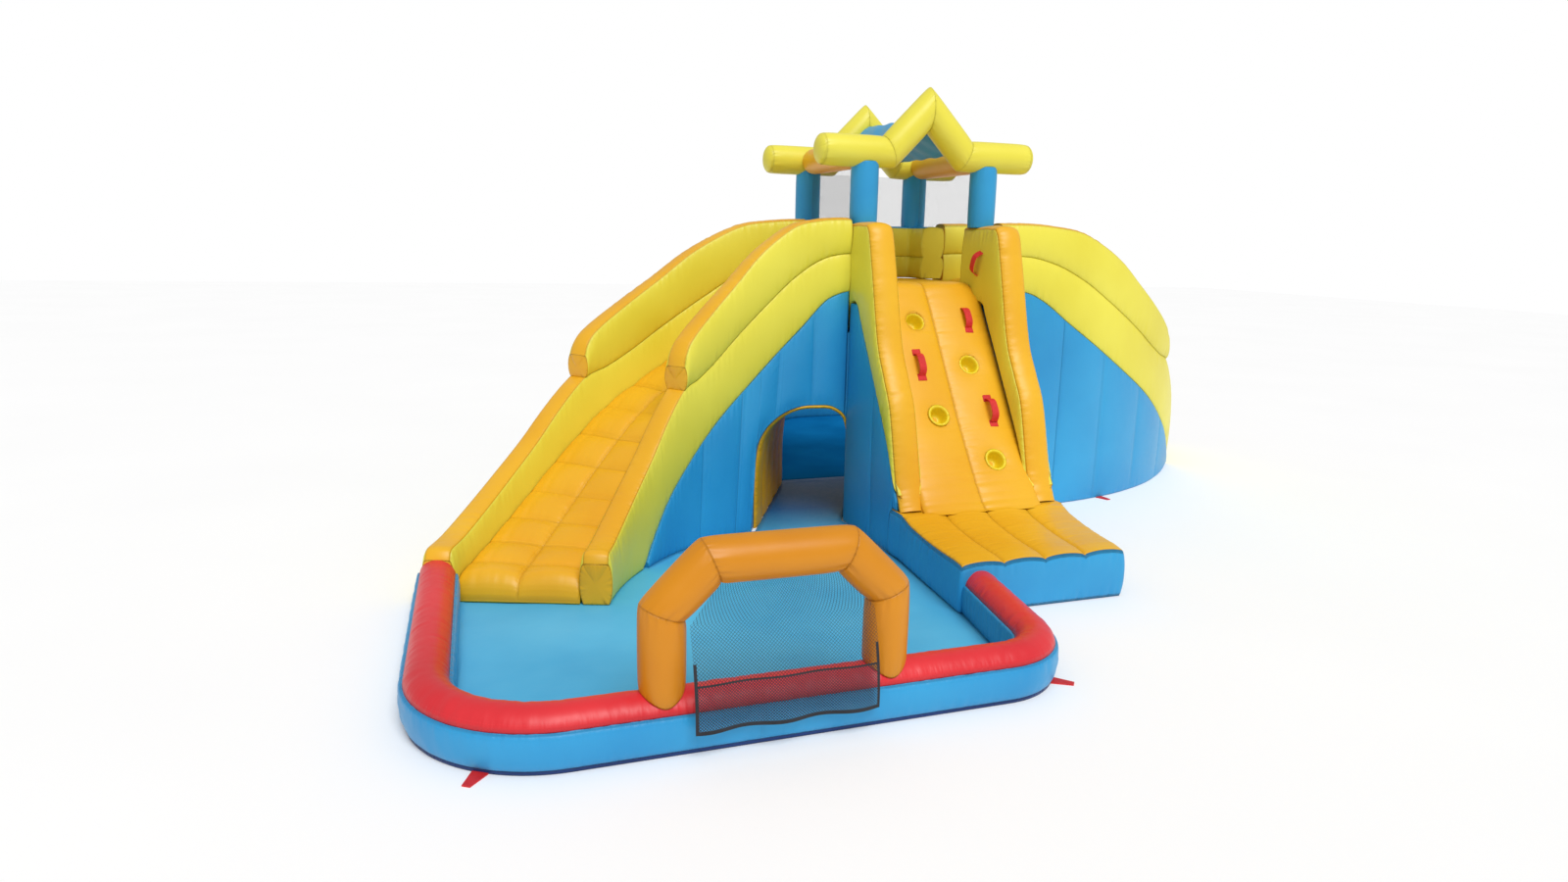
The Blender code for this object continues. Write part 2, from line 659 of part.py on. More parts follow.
def make_climb_walls():
    """The side walls of the climbing bed, each tapering to a tip, over blue side panels."""
    reach = CLIMB_FOOT_Y - CLIMB_BACK_Y
    front = [(CLIMB_BACK_Y + reach * a, WALL_TOP * up) for a, up in CLIMB_FRONT_SHARES]
    tip_y, tip_z = CLIMB_BACK_Y + reach * CLIMB_TIP_SHARE[0], WALL_TOP * CLIMB_TIP_SHARE[1]
    step_y = FRONT_PLANE_Y - GAP
    bend_y = CLIMB_BACK_Y + reach * CLIMB_BEND_SHARE
    back = [(tip_y, tip_z), (bend_y, CLIMB_SIDE_TOP), (step_y, CLIMB_SIDE_TOP),
            (step_y, FRONT_PANEL_HEIGHT + GAP), (CLIMB_BACK_Y, FRONT_PANEL_HEIGHT + GAP)]
    centre_y, centre_z = CLIMB_BACK_Y + reach * CLIMB_CENTRE_SHARE, (WALL_TOP + CLIMB_FOOT_HEIGHT) / 2
    half = CLIMB_WALL_THICKNESS / 2
    middle = TOWER_HALF_WIDTH - half
    side_end, lip = MAT_BACK_Y + GAP, MAT_HEIGHT + GAP
    side = [(step_y, 0.0), (side_end, 0.0), (side_end, lip), (tip_y, lip), (tip_y, tip_z - GAP * 2),
            (bend_y, CLIMB_SIDE_TOP - GAP * 2), (step_y, CLIMB_SIDE_TOP - GAP * 2)]
    for name, sign in (("left", -1.0), ("right", 1.0)):
        rings = []
        for across, drawn in ((-half, CLIMB_ROUNDING_SHARE), (-half * CLIMB_FLAT_SHARE, 0.0),
                              (half * CLIMB_FLAT_SHARE, 0.0), (half, CLIMB_ROUNDING_SHARE)):
            edge = [(y + (centre_y - y) * drawn, z + (centre_z - z) * drawn) for y, z in front]
            rings.append([(sign * middle + across, y, z) for y, z in edge + back])
        loft(f"climbing_{name}_wall", rings, "yellow")
        faces = (sign * TOWER_HALF_WIDTH, sign * (TOWER_HALF_WIDTH - CLIMB_SIDE_THICKNESS))
        loft(f"climbing_{name}_side", [[(x, y, z) for y, z in side] for x in faces], "blue")


def make_mat():
    """The landing mat: padded columns between lengthwise channels, flaring to the left."""
    rows, per = 6, 4
    cols = MAT_CHANNELS * per
    half = TOWER_HALF_WIDTH
    tops = []
    for i in range(rows + 1):
        along = max(i - 1, 0) / (rows - 1)
        y = CLIMB_FOOT_Y + (MAT_FRONT_Y - CLIMB_FOOT_Y) * along if i else MAT_BACK_Y
        left = -half + (MAT_FRONT_LEFT_X + half) * along
        right = half + (MAT_FRONT_RIGHT_X - half) * along
        row = []
        for j in range(cols + 1):
            column = abs(math.sin(math.pi * j / per)) ** PAD_FULLNESS
            drop = MAT_CHANNEL_DEPTH * (1 - column) + MAT_SAG * math.sin(math.pi * along)
            if i <= 1:
                drop = 0.0
            row.append((left + (right - left) * j / cols, y, MAT_HEIGHT - drop))
        tops.append(row)
    tops = np.array(tops)
    return slab("landing_mat", tops, tops * (1.0, 1.0, 0.0), "orange")


def roof_line(y):
    """A beam's centre line: a stub, a valley, the peak, a valley and a stub."""
    left = [(-BEAM_HALF_LENGTH, y, BEAM_HEIGHT), (-BEAM_VALLEY_X, y, BEAM_HEIGHT)]
    right = [(-x, y, z) for x, y, z in reversed(left)]
    return left + [(0.0, y, BEAM_HEIGHT + ROOF_RISE)] + right


def make_roof():
    """Zigzag beams front and back on four posts, and side beams between them."""
    for where, sign_y in (("front", -1.0), ("back", 1.0)):
        y = sign_y * POST_Y
        tube_along(f"roof_{where}_beam", roof_line(y), BEAM_RADIUS, "yellow")
        for side, sign_x in (("left", -1.0), ("right", 1.0)):
            base = Matrix.Translation((sign_x * POST_SPACING / 2, y, 0.0))
            profile = [(POST_RADIUS, WALL_TOP + GAP), (POST_RADIUS, BEAM_HEIGHT)]
            post = turned_solid(f"{where}_{side}_post", base, profile, "blue", 20)
            cut(post, tube_along("beam_cutter", roof_line(y), BEAM_RADIUS + GAP, "blue"))
    reach = POST_Y - BEAM_RADIUS - GAP
    for side, sign_x in (("left", -1.0), ("right", 1.0)):
        frame = Matrix.Translation((sign_x * POST_SPACING / 2, 0.0, SIDE_BEAM_Z))
        frame = frame @ Matrix.Rotation(math.pi / 2, 4, "X")
        profile = [(SIDE_BEAM_RADIUS, -reach), (SIDE_BEAM_RADIUS, reach)]
        turned_solid(f"roof_{side}_beam", frame, profile, "orange")


def make_canopy():
    """The cloth roof over the ridge, sagging between the beams."""
    reach = POST_Y - BEAM_RADIUS - GAP
    rows, cols = 6, 8
    top, bottom = [], []
    for i in range(rows + 1):
        y = reach * (2 * i / rows - 1)
        sag = CANOPY_SAG * math.sin(math.pi * i / rows)
        upper_row, lower_row = [], []
        for j in range(cols + 1):
            across = 2 * j / cols - 1
            x = CANOPY_HALF_WIDTH * across
            ridge = BEAM_HEIGHT + ROOF_RISE * (1 - abs(x) / BEAM_VALLEY_X)
            z = ridge - sag * math.sin(math.pi * abs(across)) - sag * (1 - abs(across)) / 2
            upper_row.append((x, y, z + CANOPY_THICKNESS))
            lower_row.append((x, y, z))
        top.append(upper_row)
        bottom.append(lower_row)
    return slab("roof_canopy", top, bottom, "blue")


def net_lines(length, gaps):
    """Grid lines of a net, strand edges and gap edges by turns, as shares of its length."""
    pitch = (length - NET_STRAND) / gaps
    lines = []
    for k in range(gaps + 1):
        lines += [k * pitch / length, (k * pitch + NET_STRAND) / length]
    return lines


def make_net(name, surface, size, counts):
    """A flat net with its gaps; surface gives a point from two shares and a height off the sheet."""
    faces = []
    for side in (0.5, -0.5):
        faces.append([[surface(u, v, side * NET_THICKNESS) for u in net_lines(size[0], counts[0])]
                      for v in net_lines(size[1], counts[1])])
    return slab(name, faces[0], faces[1], "navy", lambda i, j: i % 2 == 1 and j % 2 == 1)


def make_tower_nets():
    """Safety nets between the posts on the left, the right and the back."""
    reach_y = POST_Y - POST_RADIUS - GAP
    reach_x = POST_SPACING / 2 - POST_RADIUS - GAP
    low = WALL_TOP + GAP
    rise = SIDE_BEAM_Z - SIDE_BEAM_RADIUS - GAP - low
    for side, sign in (("left", -1.0), ("right", 1.0)):
        x = sign * POST_SPACING / 2
        make_net(f"{side}_net", lambda u, v, w: (x + w, reach_y * (2 * u - 1), low + rise * v),
                 (2 * reach_y, rise), (NET_COLUMNS, NET_ROWS))
    rise = BEAM_HEIGHT - BEAM_RADIUS - GAP - low
    make_net("back_net", lambda u, v, w: (reach_x * (2 * u - 1), POST_Y + w, low + rise * v),
             (2 * reach_x, rise), (NET_COLUMNS, NET_ROWS))


def pool_reach(height):
    """Half the width of a pool wall at a small height above the ground."""
    foot = POOL_WALL_WIDTH / 2 * POOL_FOOT_SHARE
    return foot + (POOL_WALL_WIDTH / 2 - foot) * height / (BULGE_SHARE * POOL_WALL_HEIGHT)


def pool_paths():
    """The plan paths of the two pool walls, each with its normals, which point into the pool."""
    left, right = Slide("left"), Slide("right")
    beyond = 1 + GAP / left.bend
    starts = [slide.point(beyond, WALL_OFFSET) for slide in (left, right)]
    inwards = [np.subtract(slide.point(beyond, 0.0), start) for slide, start in zip((left, right), starts)]
    front = rounded_path([starts[0], (FRONT_CORNER_X, FRONT_POOL_Y), (SIDE_WALL_CORNER_X, FRONT_POOL_Y),
                          (SIDE_WALL_X, MAT_FRONT_Y - GAP)], (OUTER_CORNER_RADIUS, INNER_CORNER_RADIUS))
    rear = rounded_path([starts[1], (REAR_CORNER_X, REAR_POOL_Y), (REAR_TURN_X, REAR_POOL_Y),
                         (REAR_START_X, BEHIND_SLIDE_Y + GAP)], (OUTER_CORNER_RADIUS, REAR_TURN_RADIUS))
    return ((front, left_normals(front, inwards[0], (-1.0, 0.0))),
            (rear, left_normals(rear, inwards[1], (1.0, 0.0))))


def make_pool(name, path, normals):
    """A pool's wall in two lengths that meet at a sewn seam, and its rim on top."""
    steps = np.diff(path, axis=0)
    longest = int(np.argmax(np.linalg.norm(steps, axis=1)))
    seam = path[longest] + steps[longest] * POOL_SEAM_SHARE
    ahead = steps[longest] / np.linalg.norm(steps[longest])
    side = np.array([-ahead[1], ahead[0]])
    half = POOL_WALL_WIDTH / 2
    section = tube_section(half, 0.0, POOL_WALL_HEIGHT, half * POOL_FOOT_SHARE)
    first = np.vstack([path[:longest + 1], seam])
    second = np.vstack([seam + ahead * GAP, path[longest + 1:]])
    sweep(f"{name}_pool_wall_1", first, np.vstack([normals[:longest + 1], side]), section, "blue")
    sweep(f"{name}_pool_wall_2", second, np.vstack([side, normals[longest + 1:]]), section, "blue")
    half = POOL_RIM_WIDTH / 2
    low, high = POOL_WALL_HEIGHT + GAP, POOL_WALL_HEIGHT + POOL_RIM_HEIGHT
    middle, flat = low + POOL_RIM_BELLY_SHARE * (high - low), half * POOL_RIM_TOP_SHARE
    rim = [(-half, low), (-half, middle), (-flat, high), (flat, high), (half, middle), (half, low)]
    sweep(f"{name}_pool_rim", path, normals, rim, "red")


def edge_along_slide(slide):
    """A pool floor's edge: along the inner panel, across under the slide, and along its outer wall."""
    tall = [share for share in slide.stations if slide.foot(share) - GAP >= PANEL_LEAST_HEIGHT]
    beyond = tall[-1] + GAP / slide.bend
    near = -WALL_OFFSET - PANEL_THICKNESS / 2 - GAP
    edge = [slide.point(share, near) for share in tall]
    edge += [slide.point(beyond, near), slide.point(beyond, WALL_OFFSET)]
    edge += [slide.point(share, WALL_OFFSET) for share in slide.stations if share > beyond]
    return edge


def make_floors(front, rear):
    """The pool floors, the front one running on through the tunnel."""
    inset = pool_reach(POOL_FLOOR_THICKNESS) + GAP
    side_x = -TOWER_HALF_WIDTH - GAP
    clear = LINER_THICKNESS + GAP * 4
    path, normals = front
    inner = [tuple(p + n * inset) for p, n in zip(path, normals)]
    tunnel_y = FRONT_PLANE_Y - SLIDE_WALL_THICKNESS / 2
    rear_left, rear_right = arch_ring(clear, REAR_PLANE_Y)[0][:2], arch_ring(clear, REAR_PLANE_Y)[-1][:2]
    door_left = arch_ring(clear, tunnel_y)[0][:2]
    slide_edge = [place for place in edge_along_slide(Slide("left")) if place[0] < door_left[0]]
    beside_mat = [(MAT_FRONT_LEFT_X - GAP, MAT_FRONT_Y - GAP), (side_x, CLIMB_FOOT_Y)]
    tunnel = [(side_x, FRONT_PLANE_Y), rear_right, rear_left, door_left]
    outline = inner + beside_mat + tunnel + slide_edge
    prism("front_pool_floor", outline, 0.0, POOL_FLOOR_THICKNESS, "pale_blue")
    path, normals = rear
    inner = [tuple(p + n * inset) for p, n in zip(path, normals)]
    start_y = REAR_PLANE_Y + GAP
    share = (inner[-2][1] - start_y) / (inner[-2][1] - inner[-1][1])
    inner[-1] = (inner[-2][0] + (inner[-1][0] - inner[-2][0]) * share, start_y)
    corner_x = TOWER_HALF_WIDTH + GAP
    tower = [(corner_x, start_y), (corner_x, BEHIND_SLIDE_Y + GAP)]
    outline = inner + tower + edge_along_slide(Slide("right"))
    prism("rear_pool_floor", outline, 0.0, POOL_FLOOR_THICKNESS, "pale_blue")


def make_goal():
    """The arched goal standing on the front rim, with a net that hangs out over the pool wall."""
    foot = POOL_WALL_HEIGHT + POOL_RIM_HEIGHT + GAP
    line = []
    for sign in (-1.0, 1.0):
        side = [(GOAL_CENTRE_X + sign * GOAL_HALF_WIDTH, FRONT_POOL_Y, foot),
                (GOAL_CENTRE_X + sign * GOAL_HALF_WIDTH, FRONT_POOL_Y, GOAL_SHOULDER_HEIGHT),
                (GOAL_CENTRE_X + sign * GOAL_SHOULDER_HALF_WIDTH, FRONT_POOL_Y, GOAL_HEIGHT)]
        line += side if sign < 0 else side[::-1]
    tube_along("goal_arch", line, GOAL_TUBE_RADIUS, "orange")
    keep = GOAL_TUBE_RADIUS + GOAL_NET_CLEARANCE
    slant = Vector((GOAL_HALF_WIDTH - GOAL_SHOULDER_HALF_WIDTH, GOAL_HEIGHT - GOAL_SHOULDER_HEIGHT))
    slant.normalize()
    top = GOAL_HEIGHT - GOAL_TUBE_RADIUS - GAP
    rise = top - GOAL_NET_FOOT
    out = POOL_WALL_WIDTH / 2 + GOAL_NET_OUT

    def surface(u, v, w):
        z = top - rise * v
        past_shoulder = GOAL_HALF_WIDTH * slant.y + (GOAL_SHOULDER_HEIGHT - z) * slant.x - keep
        half = min(GOAL_HALF_WIDTH - keep, past_shoulder / slant.y)
        y = FRONT_POOL_Y - out * (1 - (1 - v) ** 2)
        return (GOAL_CENTRE_X + half * (2 * u - 1), y - w, z)

    width = 2 * (GOAL_HALF_WIDTH - keep)
    make_net("goal_net", surface, (width, rise), (GOAL_NET_COLUMNS, GOAL_NET_ROWS))


def ground_frame(first, second, outside):
    """A frame on the ground at the middle of a wall's edge: X along it, Y away from the wall."""
    first, second, outside = Vector(first), Vector(second), Vector(outside)
    along = (second - first).normalized()
    out = Vector((along.y, -along.x))
    if out.dot(outside) < 0:
        out = -out
    middle = (first + second) / 2
    frame = Matrix(((out.y, -out.x, 0.0), (out.x, out.y, 0.0), (0.0, 0.0, 1.0))).transposed().to_4x4()
    frame.translation = Vector((middle.x, middle.y, 0.0)) + frame.col[1].xyz * GAP
    return frame


def make_tabs(front):
    """Red webbing tabs sewn to the walls' feet, each with its origin on the upper edge of its seam."""
    path, normals = front
    outer = [p - n * pool_reach(TAB_THICKNESS) for p, n in zip(path, normals)]
    middle = path.mean(axis=0)
    corner = int(np.argmin(path.sum(axis=1)))
    right_corner = int(np.argmax(path[:, 0] - path[:, 1]))
    slide = Slide("right")
    edge = WALL_OFFSET + PANEL_THICKNESS / 2
    stations = [s for s in slide.stations if slide.point(s, edge)[0] > SIDE_TAB_X]
    first = slide.stations.index(stations[0])
    while panel_seam(first) or panel_seam(first + 1):
        first += 1
    pair = [slide.point(slide.stations[first + k], edge) for k in (0, 1)]
    places = [(outer[corner], outer[corner + 1], outer[corner] - middle),
              (outer[right_corner], outer[right_corner + 1], outer[right_corner] - middle),
              (pair[0], pair[1], np.subtract(pair[0], slide.point(slide.stations[first], 0.0)))]
    for index, (a, b, outside) in enumerate(places, start=1):
        outline = [(-TAB_WIDTH / 2, 0.0), (TAB_WIDTH / 2, 0.0), (TAB_TIP_WIDTH / 2, TAB_LENGTH),
                   (-TAB_TIP_WIDTH / 2, TAB_LENGTH)]
        tab = prism(f"anchor_tab_{index}", outline, -TAB_THICKNESS, 0.0, "red")
        tab.matrix_world = ground_frame(a, b, outside) @ Matrix.Translation((0.0, 0.0, TAB_THICKNESS))


def make_sleeve():
    """The fabric air inlet at the back of the left slide: a tube that is closed against the panel."""
    slide = Slide("left")
    first = SLEEVE_STATION
    while panel_seam(first) or panel_seam(first + 1):
        first += 1
    edge = WALL_OFFSET + PANEL_THICKNESS / 2
    a, b = [slide.point(slide.stations[first + k], edge) for k in (0, 1)]
    outside = np.subtract(a, slide.point(slide.stations[first], 0.0))
    frame = ground_frame(a, b, outside)
    frame = frame @ Matrix.Translation((0.0, 0.0, SLEEVE_RADIUS)) @ Matrix.Rotation(-math.pi / 2, 4, "X")
    profile = [(SLEEVE_RADIUS - SLEEVE_SKIN, SLEEVE_SKIN), (SLEEVE_RADIUS - SLEEVE_SKIN, SLEEVE_LENGTH),
               (SLEEVE_RADIUS, SLEEVE_LENGTH), (SLEEVE_RADIUS, 0.0)]
    turned_solid("air_inlet_sleeve", frame, profile, "blue")


def make_hose():
    """The thin sprinkler hose laid round the left side beam."""
    curve = bpy.data.curves.new("sprinkler_hose", "CURVE")
    curve.dimensions = "3D"
    curve.bevel_depth = HOSE_RADIUS
    curve.bevel_resolution = 2
    curve.use_fill_caps = True
    line = curve.splines.new("POLY")
    line.points.add(HOSE_POINTS - 1)
    reach = SIDE_BEAM_RADIUS + GAP * 2 + HOSE_RADIUS
    for k, point in enumerate(line.points):
        share = k / (HOSE_POINTS - 1)
        turn = math.pi / 2 + HOSE_TURN * share
        y = HOSE_START_Y + (HOSE_END_Y - HOSE_START_Y) * share
        x = -POST_SPACING / 2 + reach * math.cos(turn)
        point.co = (x, y, SIDE_BEAM_Z + reach * math.sin(turn), 1.0)
    curve.materials.append(finish("white"))
    item = bpy.data.objects.new("sprinkler_hose", curve)
    bpy.context.scene.collection.objects.link(item)


def move_to_base_centre():
    """Moves everything so that the origin is the bottom centre of the whole."""
    bpy.context.view_layer.update()
    corners = []
    for item in bpy.data.objects:
        corners += [item.matrix_world @ Vector(corner) for corner in item.bound_box]
    low = Vector([min(c[k] for c in corners) for k in range(3)])
    high = Vector([max(c[k] for c in corners) for k in range(3)])
    centre = Vector(((low.x + high.x) / 2, (low.y + high.y) / 2, low.z))
    for item in bpy.data.objects:
        item.location = item.location - centre


def main():
    clear_scene()
    make_slide("left")
    make_slide("right")
    make_tower()
    make_tunnel()
    make_climb_bed()
    make_handles()
    make_climb_walls()
    make_mat()
    make_roof()
    make_canopy()
    make_tower_nets()
    front, rear = pool_paths()
    make_pool("front", *front)
    make_pool("rear", *rear)
    make_floors(front, rear)
    make_goal()
    make_tabs(front)
    make_sleeve()
    make_hose()
    move_to_base_centre()


main()
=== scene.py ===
"""Inflatable water slide: the looks of its coated fabric, nets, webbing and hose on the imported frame."""
import math

import bpy
import numpy as np
from mathutils import Euler, Matrix, Vector
from mathutils.geometry import delaunay_2d_cdt


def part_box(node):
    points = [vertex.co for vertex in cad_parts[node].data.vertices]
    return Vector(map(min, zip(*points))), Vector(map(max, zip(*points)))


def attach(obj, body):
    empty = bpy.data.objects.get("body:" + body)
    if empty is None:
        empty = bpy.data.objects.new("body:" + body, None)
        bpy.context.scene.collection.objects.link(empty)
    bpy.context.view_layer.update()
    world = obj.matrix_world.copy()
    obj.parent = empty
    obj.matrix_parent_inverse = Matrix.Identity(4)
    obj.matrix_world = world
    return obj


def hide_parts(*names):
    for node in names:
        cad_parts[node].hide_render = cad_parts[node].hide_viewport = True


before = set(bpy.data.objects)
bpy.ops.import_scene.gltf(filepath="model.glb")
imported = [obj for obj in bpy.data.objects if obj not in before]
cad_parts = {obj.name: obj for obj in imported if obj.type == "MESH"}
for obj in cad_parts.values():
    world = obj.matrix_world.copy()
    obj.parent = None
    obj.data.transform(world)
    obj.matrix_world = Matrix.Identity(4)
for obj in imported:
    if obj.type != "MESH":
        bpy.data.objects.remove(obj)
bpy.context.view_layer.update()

# Studio
# A pale floor under a broad soft lamp from above the front, with an even white surround. Places are
# measured from the ground point under the middle of the tower, which the tower's own pieces give.
deck_low, deck_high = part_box("tower_deck")
TOWER_X = (deck_low.x + deck_high.x) / 2
TOWER_Y = (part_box("front_left_post")[0].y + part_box("back_left_post")[1].y) / 2
CAMERA_X, CAMERA_Y, CAMERA_HEIGHT = -2.963, -6.16, 1.76
CAMERA_PITCH, CAMERA_TURN, CAMERA_ROLL = math.radians(78.46), math.radians(-20.03), math.radians(1.32)
LENS_MM, SENSOR_MM = 22.815, 36.0
LAMP_STRENGTH, LAMP_SPREAD = 2.05, math.radians(30.0)
LAMP_TILT, LAMP_TURN = math.radians(38.0), math.radians(2.0)
SURROUND_LIGHT, SURROUND_SEEN = 0.51, 1.0
FLOOR_HALF = 30.0
FLOOR_SHADE = (0.965, 0.965, 0.965, 1.0)
WHITE = (1.0, 1.0, 1.0, 1.0)


class Signal:
    """A shader socket in a Python sum: each operator adds the Math node that works it out."""

    def __init__(self, paint, socket):
        self.paint, self.socket = paint, socket

    def maths(self, operation, *values):
        """The result of one Math node."""
        return self.paint.node("ShaderNodeMath", {"operation": operation}, dict(enumerate(values)))

    def __add__(self, other):
        return self.maths("ADD", self, other)

    def __sub__(self, other):
        return self.maths("SUBTRACT", self, other)

    def __rsub__(self, other):
        return self.maths("SUBTRACT", other, self)

    def __mul__(self, other):
        return self.maths("MULTIPLY", self, other)

    def __truediv__(self, other):
        return self.maths("DIVIDE", self, other)

    __radd__ = __add__
    __rmul__ = __mul__

    def least(self, other):
        """The lower of two values."""
        return self.maths("MINIMUM", self, other)

    def clamped(self):
        """The value kept between 0 and 1."""
        return self.maths("MAXIMUM", self.least(1.0), 0.0)

    def absolute(self):
        """The value without its sign."""
        return self.maths("ABSOLUTE", self)

    def sine(self):
        """The sine of the value."""
        return self.maths("SINE", self)


class Paint:
    """A material being made: one method adds any node, and the others name the usual ones."""

    def __init__(self, name, roughness):
        self.material = bpy.data.materials.new(name)
        self.material.use_nodes = True
        self.tree = self.material.node_tree
        self.shader = self.tree.nodes["Principled BSDF"]
        self.send("Roughness", roughness)

    def node(self, kind, settings=(), inputs=(), output=0):
        """One output of a new node, its settings made first and then its sockets' values or links."""
        made = self.tree.nodes.new(kind)
        for name, value in dict(settings).items():
            setattr(made, name, value)
        for place, value in dict(inputs).items():
            self.feed(made.inputs[place], value)
        return Signal(self, made.outputs[output])

    def feed(self, socket, value):
        """Links a signal to a socket, or sets the socket's own value."""
        if isinstance(value, Signal):
            self.tree.links.new(value.socket, socket)
        else:
            socket.default_value = value

    def send(self, name, value):
        """Feeds one of the shader's own sockets."""
        self.feed(self.shader.inputs[name], value)

    def raised(self, height):
        """Sends a height in metres to the shader as bumps."""
        self.send("Normal", self.node("ShaderNodeBump", (), {"Distance": 1.0, "Height": height}, "Normal"))

    def coordinates(self, output):
        """Object coordinates, or UV ones: metres along the nearest seam, and metres away from it."""
        return self.node("ShaderNodeTexCoord", (), (), output)

    def parts(self, spot, axes="XYZ"):
        """The parts of a vector along some of its axes."""
        return [self.node("ShaderNodeSeparateXYZ", (), {0: spot}, axis) for axis in axes]

    def point(self, x, y, z=0.0):
        """A vector from three values."""
        return self.node("ShaderNodeCombineXYZ", (), {0: x, 1: y, 2: z})

    def noise(self, where, scale, detail=2.0):
        """Soft noise about one half."""
        return self.node("ShaderNodeTexNoise", (), {"Vector": where, "Scale": scale, "Detail": detail}, "Fac")

    def blend(self, share, first, second):
        """A colour between two, by a share from 0 to 1."""
        return self.node("ShaderNodeMix", {"data_type": "RGBA"}, {0: share, 6: first, 7: second}, 2)


def screen(red, green, blue):
    """A linear colour, with alpha 1, from the 0 to 255 values that a screen shows."""
    values = [v / 255 for v in (red, green, blue)]
    return tuple(v / 12.92 if v <= 0.04045 else ((v + 0.055) / 1.055) ** 2.4 for v in values) + (1.0,)


def placed(name, data):
    """A new object in the scene."""
    made = bpy.data.objects.new(name, data)
    bpy.context.scene.collection.objects.link(made)
    return made


camera = placed("camera", bpy.data.cameras.new("camera"))
camera.location = (TOWER_X + CAMERA_X, TOWER_Y + CAMERA_Y, CAMERA_HEIGHT)
aim = Euler((CAMERA_PITCH, 0.0, CAMERA_TURN)).to_matrix() @ Matrix.Rotation(CAMERA_ROLL, 3, "Z")
camera.rotation_euler = aim.to_euler()
camera.data.lens = LENS_MM
camera.data.sensor_width = SENSOR_MM
bpy.context.scene.camera = camera
bpy.context.scene.view_settings.view_transform = "Standard"

lamp = placed("sky_lamp", bpy.data.lights.new("sky_lamp", "SUN"))
lamp.data.energy = LAMP_STRENGTH
lamp.data.angle = LAMP_SPREAD
lamp.rotation_euler = (LAMP_TILT, 0.0, LAMP_TURN)
world = bpy.data.worlds.new("surround")
world.use_nodes = True
bpy.context.scene.world = world
surround = world.node_tree.nodes["Background"]
seen = world.node_tree.nodes.new("ShaderNodeLightPath")
level = world.node_tree.nodes.new("ShaderNodeMapRange")
level.inputs["To Min"].default_value = SURROUND_LIGHT
level.inputs["To Max"].default_value = SURROUND_SEEN
world.node_tree.links.new(seen.outputs["Is Camera Ray"], level.inputs["Value"])
world.node_tree.links.new(level.outputs["Result"], surround.inputs["Strength"])
surround.inputs["Color"].default_value = WHITE

floor_mesh = bpy.data.meshes.new("floor")
floor_corners = ((-1, -1), (1, -1), (1, 1), (-1, 1))
floor_mesh.from_pydata([(x * FLOOR_HALF, y * FLOOR_HALF, 0.0) for x, y in floor_corners], [], [(0, 1, 2, 3)])
floor = placed("floor", floor_mesh)
ground = Paint("studio_floor", 0.9)
ground.send("Base Color", ground.blend(ground.noise(ground.coordinates("Object"), 0.6), FLOOR_SHADE, WHITE))
floor_mesh.materials.append(ground.material)


# Slides
# Each slide is a quilted bed between two padded side walls. A wall is a lower tube over its whole
# length and an upper tube as far as the shoulder, of yellow coated fabric with an orange strip on top.
# The tubes are sewn to upright blue panels that are drawn in at their upright seams.
GAP = 0.0003
TOWER_HALF_WIDTH = 0.52
DECK_HEIGHT = 1.50
SLIDE_AXIS_Y = -0.115
SLIDE_BED_WIDTH = 0.60
SLIDE_BED_THICKNESS = 0.13
SLIDE_WALL_THICKNESS = 0.157
SLIDE_BEND_RADIUS = 2.06
SLIDE_BEND_ANGLE = math.radians(70.0)
SLIDE_BEND = SLIDE_BEND_RADIUS * SLIDE_BEND_ANGLE
SLIDE_RUNS = {"left": 0.144, "right": 0.33}
WALL_OFFSET = (SLIDE_BED_WIDTH + SLIDE_WALL_THICKNESS) / 2
WALLS = (("inner", -WALL_OFFSET), ("outer", WALL_OFFSET))
WALL_WAIST = 0.0605
PANEL_HALF = 0.056
LEAST_PANEL = 0.045
SHOULDER_SHARE = 0.52
SHOULDER_RADIUS = 0.075
WALL_END_RADIUS = 0.045
POOL_FLOOR_THICKNESS = 0.008
# Heights as shares of the deck's, at shares of the bend
TOP_SHARES = ((-0.20, 1.250), (0.03, 1.247), (0.10, 1.227), (0.171, 1.17), (0.229, 1.11),
              (0.314, 1.00), (0.40, 0.90), (0.486, 0.80), (0.52, 0.753))
TUBE_SEAM_SHARES = ((-0.20, 1.11), (0.0, 1.103), (0.03, 1.087), (0.11, 1.02), (0.20, 0.92),
                    (0.314, 0.793), (0.40, 0.70), (0.46, 0.65), (0.52, 0.615), (0.543, 0.585), (0.60, 0.50),
                    (0.66, 0.407), (0.75, 0.303), (0.85, 0.22), (0.93, 0.18), (1.0, 0.172))
WALL_FOOT_SHARES = ((-0.20, 0.973), (0.0, 0.933), (0.08, 0.827), (0.17, 0.717), (0.26, 0.61),
                    (0.39, 0.467), (0.50, 0.333), (0.60, 0.207), (0.68, 0.08), (0.73, 0.0), (1.0, 0.0))
BED_SHARES = ((-0.20, 1.0), (0.0, 0.985), (0.08, 0.92), (0.244, 0.735), (0.357, 0.615),
              (0.467, 0.51), (0.60, 0.355), (0.739, 0.21), (0.857, 0.13), (1.0, 0.09))
# Upright seams of each slide's panels, as shares of the bend
PANEL_SEAM_SHARES = {"left": (-0.055, 0.071, 0.231, 0.405, 0.60), "right": (-0.11, 0.051, 0.186, 0.346, 0.52)}
BED_BAFFLES = 14
BED_FOOT_RADIUS = 0.085
PAD_RISE, CHANNEL_SINK = 0.038, 0.030
CHANNEL_FOLD, SEAM_FOLD = 0.0085, 0.0070
WALL_STATIONS, BED_STATIONS, BED_COLUMNS = 230, 300, 49
